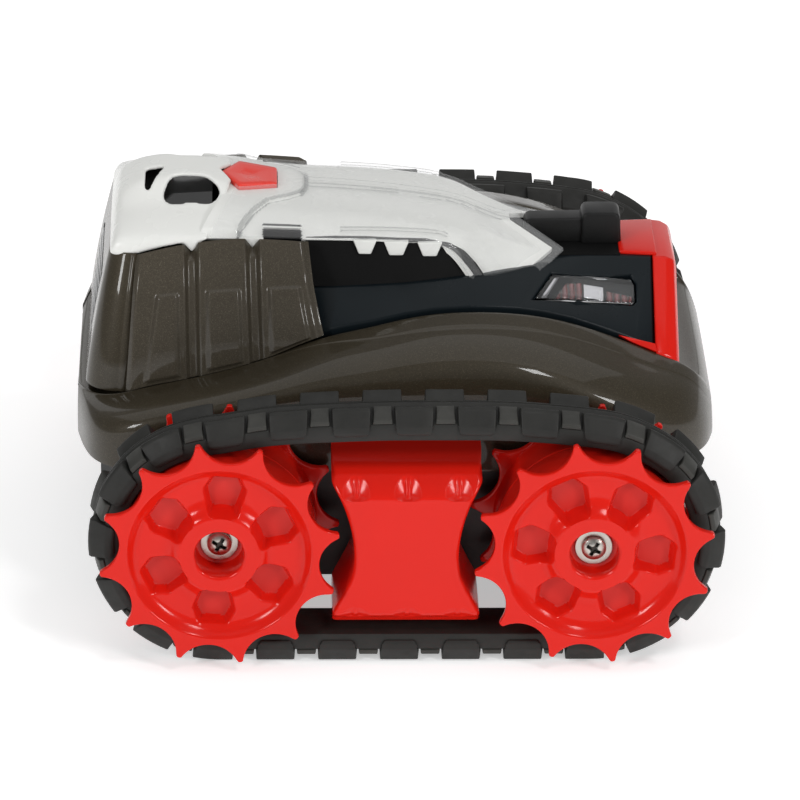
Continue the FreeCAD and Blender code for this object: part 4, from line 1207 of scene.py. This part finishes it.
def cowl():
    xs = [-76.7, -76.5, -76.1, -75.4, -74.2, -72.4, -70.0, -67.0, -63.0, -58.0, -53.0, -49.0, -46.0, -44.0]

    def front(x, ay):
        """the front rim runs back towards the sides"""
        xf = lin([(0.0, -43.2), (9.0, -44.2), (24.0, -48.4), (29.0, -50.3)], ay)[0]
        return x if x < -60 else -60 + (x + 60) * (xf + 60) / 16.0

    def sec(x, d, drop, rake=True):
        zt, ys, zs, ye, ze, zl = table(COWL, x)
        ctrl = [(ye - d, zl - drop), (ye + 0.2 - d, lerp(zl, ze, 0.5)), (ye - d, ze - 0.3 * d), (24.5 - 0.6 * d, lerp(ze, zs, 0.35) - 0.7 * d), (19.0 - 0.5 * d, lerp(ze, zs, 0.72) - 0.9 * d), (14.0 - 0.5 * d, zs - 0.9 * d), (9.2 - 0.4 * d, zt - 0.5 - d), (6.0, zt - 0.05 - d), (0.0, zt - d)]
        pts = [(front(x, a) if rake else x, -a, b) for a, b in ctrl]
        return pts + [(front(x, a) if rake else x, a, b) for a, b in reversed(ctrl[:-1])]

    o = loft("cowl", [sec(x, 0.0, 0.0) for x in xs], M_WHITE)
    subsurf(o, 2)
    apply_mods(o)
    inner = loft("ci", [sec(x, 1.35, 9.0, False) for x in [-74.2, -73.0, -70.0, -67.0, -63.0, -58.0, -53.0, -49.0, -46.0, -40.0]], M_WHITE)
    boolean(o, inner)
    side_hole = round_poly([(-60.0, 6.7), (-51.4, 6.5), (-47.6, 11.0), (-50.2, 15.0), (-62.0, 15.2), (-62.8, 12.2)], 3.6, 7)
    tri_hole = round_poly([(-67.4, 1.2), (-62.4, 1.2), (-67.4, 13.2)], 0.8, 5)
    for h, sides in ((side_hole, (-1, 1)), (tri_hole, (-1,))):
        for s in sides:
            c = prism("c", [(a, s * b) for a, b in h], "z", 94.0, 112.0, M_WHITE)
            boolean(o, c)
    cx = -40.5
    g = [((x - cx) * 1.025 + cx, y * 1.025) for x, y in BTN]
    c = prism("c", g, "z", 90.0, 112.0, M_WHITE)
    boolean(o, c)
    # pointed teeth reach down into the rib grooves of the pods
    parts = [o]
    for s in (-1, 1):
        lo, hi = sorted((s * 27.0, s * 28.7))
        parts.append(prism("v", [(-58.2, 95.6), (-55.2, 92.6), (-52.4, 95.8), (-54.0, 96.6), (-56.6, 96.5)], "y", lo, hi, M_WHITE))
    o = join("tail_cowl_shell", parts)
    remesh_smooth(o, 0.42, 16, 0.5)
    shade(o, 60)
    return o


done(cowl(), "chassis", "white_plastic", "tail_cowl")

# ------------------------------------------------------------------ canopy and liner
# x, top z (crown), half width at the edge, edge z
CAN = [
    (-51.0, 103.8, 28.2, 96.9), (-43.6, 102.7, 27.4, 96.5), (-32.0, 101.9, 26.6, 95.8), (-25.0, 101.3, 26.2, 95.5), (-14.0, 100.5, 25.6, 95.0), (0.0, 99.0, 24.4, 93.9), (10.2, 97.4, 23.6, 92.8), (17.3, 96.0, 25.4, 89.3),
    (23.2, 94.6, 28.2, 81.8), (25.0, 94.1, 29.0, 79.9), (28.5, 93.0, 29.0, 79.9), (32.5, 91.4, 29.0, 79.9), (37.4, 89.4, 29.0, 79.9), (42.6, 87.6, 29.0, 79.9),
]
# rim by half-width fraction: notch, prong tip, cheek tip
RIM = [(0.0, 31.4, 0.0, 91.4), (0.06, 31.6, 2.3, 91.3), (0.46, 42.6, 12.9, 87.2), (0.62, 37.4, 18.4, 84.5), (0.78, 32.5, 23.6, 82.3), (0.90, 28.5, 26.8, 80.9), (1.0, 25.0, 29.0, 79.9)]
RIM_L = [(0.0, 28.6, 0.0, 91.0), (0.06, 28.8, 2.4, 90.9), (0.46, 39.6, 12.0, 86.9), (0.62, 34.6, 17.6, 84.8), (0.78, 30.0, 22.8, 82.8), (0.90, 26.4, 26.0, 81.8), (1.0, 23.4, 28.0, 81.6)]
PAD = [(-60.0, 34.0), (-44.6, 34.0), (-42.4, 24.5), (-39.6, 18.9), (-35.4, 13.4), (-30.0, 10.6), (-26.6, 8.0), (-25.2, 4.0), (-25.2, 0.0)]


def pad_lift(x, ay):
    """1 on the raised pad round the button, 0 off it"""
    if x < -60.0:
        return 1.0
    xf = None
    for (x0, y0), (x1, y1) in zip(PAD, PAD[1:]):
        if y1 <= ay <= y0:
            xf = x0 if y0 == y1 else lerp(x1, x0, (ay - y1) / (y0 - y1))
    if xf is None:
        xf = -44.6
    return smooth((xf - x) / 1.6 + 0.5)


def skin(name, mat, d, thick, x0, rim, cut=True, rib=0.35, res=(170, 141)):
    """grid sheet: columns across the body, rows from the cowl to the rim"""
    nx, nu = res
    vs = []
    for j in range(nu):
        w = -1 + 2.0 * j / (nu - 1)
        k = abs(w)
        xe, yr, zr = lin(rim, k)
        xs = lerp(x0[0], x0[1], k ** 2)
        for i in range(nx):
            t = i / (nx - 1.0)
            x = lerp(xs, xe, t)
            zt, hw, ze = table(CAN, x)
            q = smooth((x - 8.0) / max(xe - 8.0, 1.0)) if x > 8.0 else 0.0
            hw2 = hw - d * 0.75
            y = lerp(hw2 * k, yr, q)
            f = min(1.0, y / hw2)
            bl = smooth((x + 25.0) / 30.0)
            z = ze + (zt - ze) * (1 - f ** lerp(2.2, 2.9, bl)) ** (1 / lerp(1.25, 1.7, bl)) - d * (1.0 - 0.5 * f)
            z = lerp(z, zr, q * q)
            # central rib, raised pad, stepped strip above the tabs
            z += rib * smooth((2.3 - y) / 0.5) * smooth((x + 27.0) / 2.0) * smooth((31.0 - x) / 3.0)
            z += 0.8 * pad_lift(x, y) * (1.0 - smooth((f - 0.93) / 0.06))
            y += 0.55 * pad_lift(x, y) * smooth((f - 0.85) / 0.1)
            if rib > 0.1:
                st = smooth((f - 0.865) / 0.03) * smooth((x + 16.5) / 1.0) * smooth((11.6 - x) / 1.0)
                y += 0.55 * st
                z += 0.25 * st
            vs.append((x, math.copysign(y, w) if w != 0 else 0.0, z))
    fs = grid_faces(nu, nx)
    o = obj_from(name, vs, fs, mat)
    bm = bmesh.new()
    bm.from_mesh(o.data)
    bmesh.ops.remove_doubles(bm, verts=bm.verts, dist=2e-6)
    bmesh.ops.recalc_face_normals(bm, faces=bm.faces)
    if sum(f.normal.z * f.calc_area() for f in bm.faces) < 0:
        bmesh.ops.reverse_faces(bm, faces=bm.faces)
    bm.to_mesh(o.data)
    bm.free()
    solidify(o, thick, -1.0)
    apply_mods(o)
    if cut:
        g = [((x + 40.5) * 1.02 - 40.5, y * 1.02) for x, y in BTN]
        c = prism("c", g, "z", 90.0, 112.0, mat)
        boolean(o, c)
    shade(o, 45)
    return o


can = skin("clear_canopy", M_CLEAR, 0.0, 0.8, (-43.4, -50.6), RIM, True, 0.35, (230, 191))
if len(can.data.materials) < 2:
    can.data.materials.append(M_CLEAR_STEP_SHADE)
    can.data.materials.append(M_CLDARK)
for pl in can.data.polygons:
    cx, cy = pl.center.x * 1000.0 - XC, abs(pl.center.y * 1000.0)
    f = cy / table(CAN, cx)[1]
    k = pad_lift(cx, cy) if cx > -50.0 else 1.0
    r = smooth((2.3 - cy) / 0.5) if -25.5 < cx < 29.5 else 0.0
    t = smooth((f - 0.865) / 0.03) if -16.5 < cx < 11.6 else 0.0
    # slopes of the button pad, spine rib and tab strip take the darker copy: painted shade along the steps
    if 0.06 < k < 0.94 or 0.03 < r < 0.97 or 0.02 < t < 0.98:
        pl.material_index = 1
    if -36.6 < cx < -26.9 and pl.center.y < 0 and 0.90 < f:
        pl.material_index = 2
done(can, "chassis", "clear_plastic", "canopy_clear")
liner = skin("white_liner", M_WHITE, 1.3, 1.2, (-46.2, -53.5), RIM_L, True, 0.0)
if len(liner.data.materials) < 2:
    liner.data.materials.append(M_VOID)
for pl in liner.data.polygons:
    cx, cy = pl.center.x * 1000.0 - XC, -pl.center.y * 1000.0
    fr = cy / (table(CAN, cx)[1] - 1.0)
    if -36.9 < cx < -26.6 and (fr > 0.895 or 0.83 < fr < 0.86):
        pl.material_index = 1
tabs = []
for s in (-1, 1):
    lo, hi = sorted((s * 25.8, s * 27.6))
    tabs.append(prism("v", [(-43.0, 96.2), (-39.7, 92.6), (-36.6, 95.9)], "y", lo, hi, M_WHITE))
for xa, xb in ((-13.2, -7.0), (-5.2, 1.4), (3.6, 10.2)):
    for s in (-1, 1):
        pts = []
        zt, hw, ze = table(CAN, (xa + xb) / 2)
        top, bot = ze - 0.1, ze - 3.7
        ins = 1.5
        vs = []
        for yy, off in ((s * (hw + 0.15), 0.0), (s * (hw - 1.7), 0.0)):
            for x, z in ((xa, top), (xb, top), (xb - ins, bot), (xa + ins, bot)):
                vs.append((x, yy + s * (0.7 if z == bot else 0.0), z))
        fs = [(0, 1, 2, 3), (7, 6, 5, 4), (0, 4, 5, 1), (1, 5, 6, 2), (2, 6, 7, 3), (3, 7, 4, 0)]
        t = obj_from("tab", vs, fs, M_WHITE)
        fix_normals(t)
        bevel(t, 0.35, 3)
        apply_mods(t)
        tabs.append(t)
liner = join("white_liner", [liner] + tabs)
shade(liner, 45)
done(liner, "chassis", "white_plastic", "canopy_liner")


# ------------------------------------------------------------------ cockpit frame, windows
FRM = [(-24.5, 27.2, 82.0, 36.2), (-11.0, 27.5, 82.8, 37.0), (0.0, 27.6, 83.4, 37.0), (8.0, 27.6, 84.2, 36.6), (18.0, 27.2, 85.2, 36.2), (25.0, 25.4, 84.9, 35.8), (30.0, 21.4, 84.6, 35.2), (37.0, 16.8, 84.7, 34.4), (44.0, 12.8, 84.8, 33.6), (65.9, 12.6, 84.6, 31.8)]


def side_pt(x, t):
    yt, zt, yf = table(FRM, x)
    zc = crest(x)[1]
    return yt + t * (yf - yt), zt + t * (zc + 0.6 - zt)


def cockpit():
    xs = [-24.3, -16, -8, 0, 8, 17, 24, 30, 37, 44, 50, 56, 61, 65.8]
    rows = []
    for x in xs:
        yt, zt, yf = table(FRM, x)
        zc = crest(x)[1]
        yb, zb = yf, zc + 0.6
        half = [(yb, zb - 2.4), (yb, zb), (yt, zt), (yt - 2.0, zt - 0.1)]
        rows.append([(x, -y, z) for y, z in half] + [(x, y, z) for y, z in reversed(half)])
    o = loft("cockpit_frame_shell", rows, M_NAVY)
    for s in (-1, 1):
        pts = []
        for x, t in ((33.6, 0.78), (39.0, 0.24), (60.2, 0.25), (61.4, 0.33), (61.4, 0.54), (60.4, 0.60)):
            y, z = side_pt(x, t)
            pts.append(Vector((x, s * y, z)))
        nn = Vector((0, s * 0.52, 0.854))
        vs = [tuple(p + nn * h) for h in (-2.6, 3.0) for p in pts]
        k = len(pts)
        fs = [tuple(range(k)), tuple(range(2 * k - 1, k - 1, -1))] + [(i, k + i, k + (i + 1) % k, (i + 1) % k) for i in range(k)]
        c = obj_from("c", vs, fs, M_NAVY)
        fix_normals(c)
        boolean(o, c)
    bevel(o, 0.8, 4, 24)
    apply_mods(o)
    parts = [o]
    for s in (-1, 1):
        # black wall standing in the gap between the frame and the canopy edge
        xs = [-25.5, -18, -10, -2, 6, 12, 16, 19, 21.5, 23.5]
        rows = []
        for x in xs:
            zt, hw, ze = table(CAN, x)
            yd = table(FRM, x)[0]
            top = max(min(ze + 0.4, 95.4), 82.6)
            rows.append([(x, s * (hw - 2.2), top), (x, s * (hw - 1.4), top), (x, s * (yd - 0.5), 82.3), (x, s * (yd - 1.6), 82.3)])
        parts.append(loft("wall", rows, M_VOID))
    # dark channel under the nose block
    ch = prism("ch", [(24.0, -12.2), (57.6, -11.6), (57.6, 11.6), (24.0, 12.2)], "z", 84.2, 84.95, M_VOID)
    parts.append(ch)
    o = join("cockpit_frame_shell", parts)
    shade(o, 36)
    return o


done(cockpit(), "chassis", "navy_plastic", "cockpit_frame")


def panel(name, corners, s, lo, hi, mat, bw=0.3):
    pts = []
    for x, t in corners:
        y, z = side_pt(x, t)
        pts.append(Vector((x, s * y, z)))
    nn = Vector((0, s * 0.52, 0.854))
    vs = [tuple(p + nn * h) for h in (lo, hi) for p in pts]
    k = len(pts)
    fs = [tuple(range(k)), tuple(range(2 * k - 1, k - 1, -1))] + [(i, k + i, k + (i + 1) % k, (i + 1) % k) for i in range(k)]
    o = obj_from(name, vs, fs, mat)
    fix_normals(o)
    bevel(o, bw, 3)
    apply_mods(o)
    return o


for s, side in ((-1, "right"), (1, "left")):
    lens = panel("window_pane_" + side, [(34.2, 0.76), (39.3, 0.27), (60.0, 0.28), (61.0, 0.35), (61.0, 0.53), (60.2, 0.58)], s, -0.9, 0.1, M_LENS)
    shade(lens, 35)
    done(lens, "chassis", "clear_plastic", "window_lens_" + side)
    back = panel("b", [(35.2, 0.74), (39.8, 0.30), (60.2, 0.30), (60.2, 0.56)], s, -2.5, -2.1, M_NAVY, 0.1)
    red1 = panel("r", [(40.0, 0.67), (42.8, 0.44), (47.0, 0.42), (47.0, 0.63)], s, -2.1, -1.4, M_LIGHT, 0.15)
    bar = panel("m", [(35.6, 0.73), (39.9, 0.32), (41.3, 0.32), (37.4, 0.71)], s, -2.1, -1.3, M_CHROME, 0.15)
    blk = panel("k", [(47.3, 0.62), (47.3, 0.44), (52.6, 0.44), (52.6, 0.60)], s, -2.1, -1.2, M_CHROME, 0.2)
    red2 = panel("r2", [(53.2, 0.59), (53.2, 0.48), (60.0, 0.47), (60.0, 0.56)], s, -2.1, -1.2, M_LIGHT, 0.2)
    u = join("light_unit_parts_" + side, [back, red1, bar, blk, red2])
    shade(u, 35)
    done(u, "chassis", "light_unit", "light_unit_" + side)


# ------------------------------------------------------------------ front bumper and fin
def bumper():
    secs = [(66.1, 34.4, 60.6, 34.9, 66.6, 12.9, 84.9), (69.5, 34.6, 60.0, 34.6, 65.8, 12.6, 84.6), (71.6, 34.2, 59.2, 34.0, 64.4, 12.0, 83.6), (72.5, 33.0, 58.6, 32.6, 62.8, 11.2, 81.8)]
    rows = []
    for x, y0, z0, y1, z1, y2, z2 in secs:
        half = [(y0, z0), (y1, z1), (y2, z2)]
        rows.append([(x, -y, z) for y, z in half] + [(x, y, z) for y, z in reversed(half)])
    o = loft("bumper", rows, M_RED)
    c = loft("c", [[(65.0, -y, z) for y, z in ((31.6, 50.0), (31.6, 65.0), (11.0, 82.6))] + [(65.0, y, z) for y, z in ((11.0, 82.6), (31.6, 65.0), (31.6, 50.0))],
                   [(70.3, -y, z) for y, z in ((31.0, 50.0), (31.0, 63.4), (10.4, 81.4))] + [(70.3, y, z) for y, z in ((10.4, 81.4), (31.0, 63.4), (31.0, 50.0))]], M_RED)
    boolean(o, c)
    # recessed front panel
    c = prism("c", [(-19, 66.0), (-11, 78.0), (11, 78.0), (19, 66.0)], "x", 71.4, 76.0, M_RED)
    boolean(o, c)
    bevel(o, 0.7, 3, 26)
    apply_mods(o)
    # slivers under the cockpit frame
    parts = [o]
    pl = prism("pl", [(57.4, -10.6), (57.4, 10.6), (67.2, 11.6), (67.2, -11.6)], "z", 84.4, 85.5, M_RED)
    bevel(pl, 0.4, 3)
    apply_mods(pl)
    parts.append(pl)
    for s in (-1, 1):
        pts = [(56.2, 33.9, crest(56.2)[1] + 0.5), (66.2, 33.0, crest(62.0)[1] + 0.2), (66.4, 34.4, 60.8), (66.2, 35.0, crest(66.0)[1] + 0.6), (60.0, 35.2, crest(60.0)[1] + 0.6)]
        vs = [(x, s * y, z) for x, y, z in pts] + [(x, s * (y - 1.6), z - 1.2) for x, y, z in pts]
        k = len(pts)
        fs = [tuple(range(k)), tuple(range(2 * k - 1, k - 1, -1))] + [(i, k + i, k + (i + 1) % k, (i + 1) % k) for i in range(k)]
        q = obj_from("q", vs, fs, M_RED)
        fix_normals(q)
        bevel(q, 0.2, 2)
        apply_mods(q)
        parts.append(q)
    o = join("front_bumper_shell", parts)
    shade(o, 36)
    return o


done(bumper(), "chassis", "red_plastic", "front_bumper")


def fin():
    a = prism("a", [(32.6, 84.6), (32.5, 90.4), (33.6, 91.5), (48.4, 91.7), (48.4, 84.6)], "y", -3.3, 3.3, M_BLACK)
    bevel(a, 0.9, 4)
    apply_mods(a)
    b = prism("b", [(47.6, 84.6), (47.6, 92.4), (48.6, 93.6), (56.8, 93.6), (57.9, 92.5), (58.2, 84.6)], "y", -4.4, 4.4, M_BLACK)
    bevel(b, 1.0, 4)
    apply_mods(b)
    o = join("nose_fin_block", [a, b])
    shade(o, 36)
    return o


done(fin(), "chassis", "black_plastic", "nose_fin")


# ------------------------------------------------------------------ button
def button():
    top = round_poly(BTN, 0.9, 4)

    def zt(x):
        return lerp(104.1, 102.5, (x + 50.0) / 20.0)

    rows = []
    for sc, dz in ((1.0, -3.6), (1.0, -0.55), (0.985, -0.2), (0.955, 0.0), (0.8, 0.0), (0.62, -0.05), (0.5, -0.16), (0.38, -0.30), (0.25, -0.42), (0.12, -0.48), (0.02, -0.5)):
        w = max(0.0, min(1.0, (0.9 - sc) / 0.4))
        row = []
        for x, y in top:
            an = math.atan2(y, x + 40.3)
            px, py = lerp((x + 40.3) * sc, 6.4 * sc * math.cos(an), w), lerp(y * sc, 6.4 * sc * math.sin(an), w)
            row.append((px - 40.3, py, 100.9 if dz < -3.0 else zt(px - 40.3) + dz))
        rows.append(row)
    n = len(top)
    vs = [p for r in rows for p in r]
    fs = grid_faces(len(rows), n, True)
    fs.append(tuple(range(n)))
    k = (len(rows) - 1) * n
    fs.append(tuple(k + j for j in range(n)))
    o = obj_from("press_button_cap", vs, fs, M_BTN)
    fix_normals(o)
    shade(o, 50)
    return o


done(button(), "button", "red_plastic", "press_button")

# ------------------------------------------------------------------ materials for the CAD nodes that stay
STAY = {
    "cowl_tray": M_TRAY, "lower_chassis": M_CHASSIS, "battery_door": M_BLACK, "battery_tray": M_BLACK, "battery_cells": M_CELL, "circuit_board": M_PCB,
    "switch_housing": M_BLACK, "switch_slider": M_TRAY, "button_post": M_BLACK, "button_spring": M_STEEL, "gear_pins": M_STEEL, "chassis_screws": M_STEEL,
}
for s in ("left", "right"):
    STAY.update({"drive_axle_" + s: M_STEEL, "idler_axle_" + s: M_STEEL, "final_gear_" + s: M_ACETAL, "compound_gear_" + s: M_ACETAL, "gearbox_bracket_" + s: M_BLACK,
                 "motor_" + s: M_STEEL, "motor_rotor_" + s: M_BRASS, "axle_bushes_" + s: M_ACETAL})
for n, m in STAY.items():
    o = bpy.data.objects.get(n)
    if o is None:
        q = frame["nodes"][n]
        o = q if hasattr(q, "data") else bpy.data.objects[q["object"] if isinstance(q, dict) else str(q)]
    if not o.material_slots:
        o.data.materials.append(m)
    for s in o.material_slots:
        s.material = m

# ------------------------------------------------------------------ floor, lights, camera
me = bpy.data.meshes.new("floor")
me.from_pydata([(-6, -6, -0.0002), (6, -6, -0.0002), (6, 6, -0.0002), (-6, 6, -0.0002)], [], [(0, 1, 2, 3)])
floor = bpy.data.objects.new("floor", me)
bpy.context.scene.collection.objects.link(floor)
fm, nt, b, tc = new_mat("floor_white")
n1 = noise(nt, tc, 3.0, 2.0)
r = ramp(nt, n1.outputs[0], [(0.3, (0.93, 0.93, 0.93)), (0.7, (0.95, 0.95, 0.95))])
nt.links.new(r.outputs[0], b.inputs["Base Color"])
b.inputs["Roughness"].default_value = 0.9
b.inputs["Specular IOR Level"].default_value = 0.0
b.inputs["Emission Color"].default_value = (1, 1, 1, 1)
b.inputs["Emission Strength"].default_value = 0.44
me.materials.append(fm)


def area(name, loc, target, sx, sy, power, col=(1, 1, 1)):
    l = bpy.data.lights.new(name, "AREA")
    l.shape = "RECTANGLE"
    l.size, l.size_y = sx, sy
    l.energy = power
    l.color = col
    o = bpy.data.objects.new(name, l)
    bpy.context.scene.collection.objects.link(o)
    o.location = loc
    o.rotation_euler = (Vector(target) - Vector(loc)).to_track_quat("-Z", "Y").to_euler()
    return o


area("top_softbox", (0.0, 0.25, 1.50), (0, 0, 0.04), 2.4, 1.6, 8.0)
area("back_softbox", (0.0, 1.90, 0.75), (0, 0, 0.10), 3.0, 1.3, 7.0)
area("front_left_softbox", (-0.90, -0.99, 0.68), (0, 0, 0.05), 0.26, 0.36, 6.0)
area("front_right_softbox", (0.98, -0.98, 0.60), (0, 0, 0.05), 0.26, 0.36, 6.0)
area("high_right_softbox", (0.42, -0.65, 1.04), (0.03, 0, 0.05), 0.16, 0.22, 2.2)

w = bpy.data.worlds.new("studio")
bpy.context.scene.world = w
w.use_nodes = True
bg = w.node_tree.nodes["Background"]
bg.inputs[0].default_value = (1, 1, 1, 1)
bg.inputs[1].default_value = 0.22

# camera: long lens, slightly above, facing the vehicle's right side
e, a, rl = 0.4249, -0.0281, 0.0108
D = 99.6435 * P
back = Vector((math.sin(a) * math.cos(e), -math.cos(a) * math.cos(e), math.sin(e)))
right = Vector((math.cos(a), math.sin(a), 0.0))
up = back.cross(right)
r2 = right * math.cos(rl) + up * math.sin(rl)
u2 = -right * math.sin(rl) + up * math.cos(rl)
loc = Vector((0.0127 * P + XC, 0.0, 0.2427 * P + ZW)) + back * D
cam = bpy.data.cameras.new("camera")
cam.sensor_fit = "HORIZONTAL"
cam.sensor_width = 36.0
cam.lens = 5930.89 / 800.0 * 36.0
cam.clip_start = 0.1
cam.clip_end = 50.0
co = bpy.data.objects.new("camera", cam)
bpy.context.scene.collection.objects.link(co)
co.matrix_world = Matrix(((r2.x, u2.x, back.x, loc.x * 0.001), (r2.y, u2.y, back.y, loc.y * 0.001), (r2.z, u2.z, back.z, loc.z * 0.001), (0, 0, 0, 1)))
bpy.context.scene.camera = co
bpy.context.scene.view_settings.view_transform = "Standard"
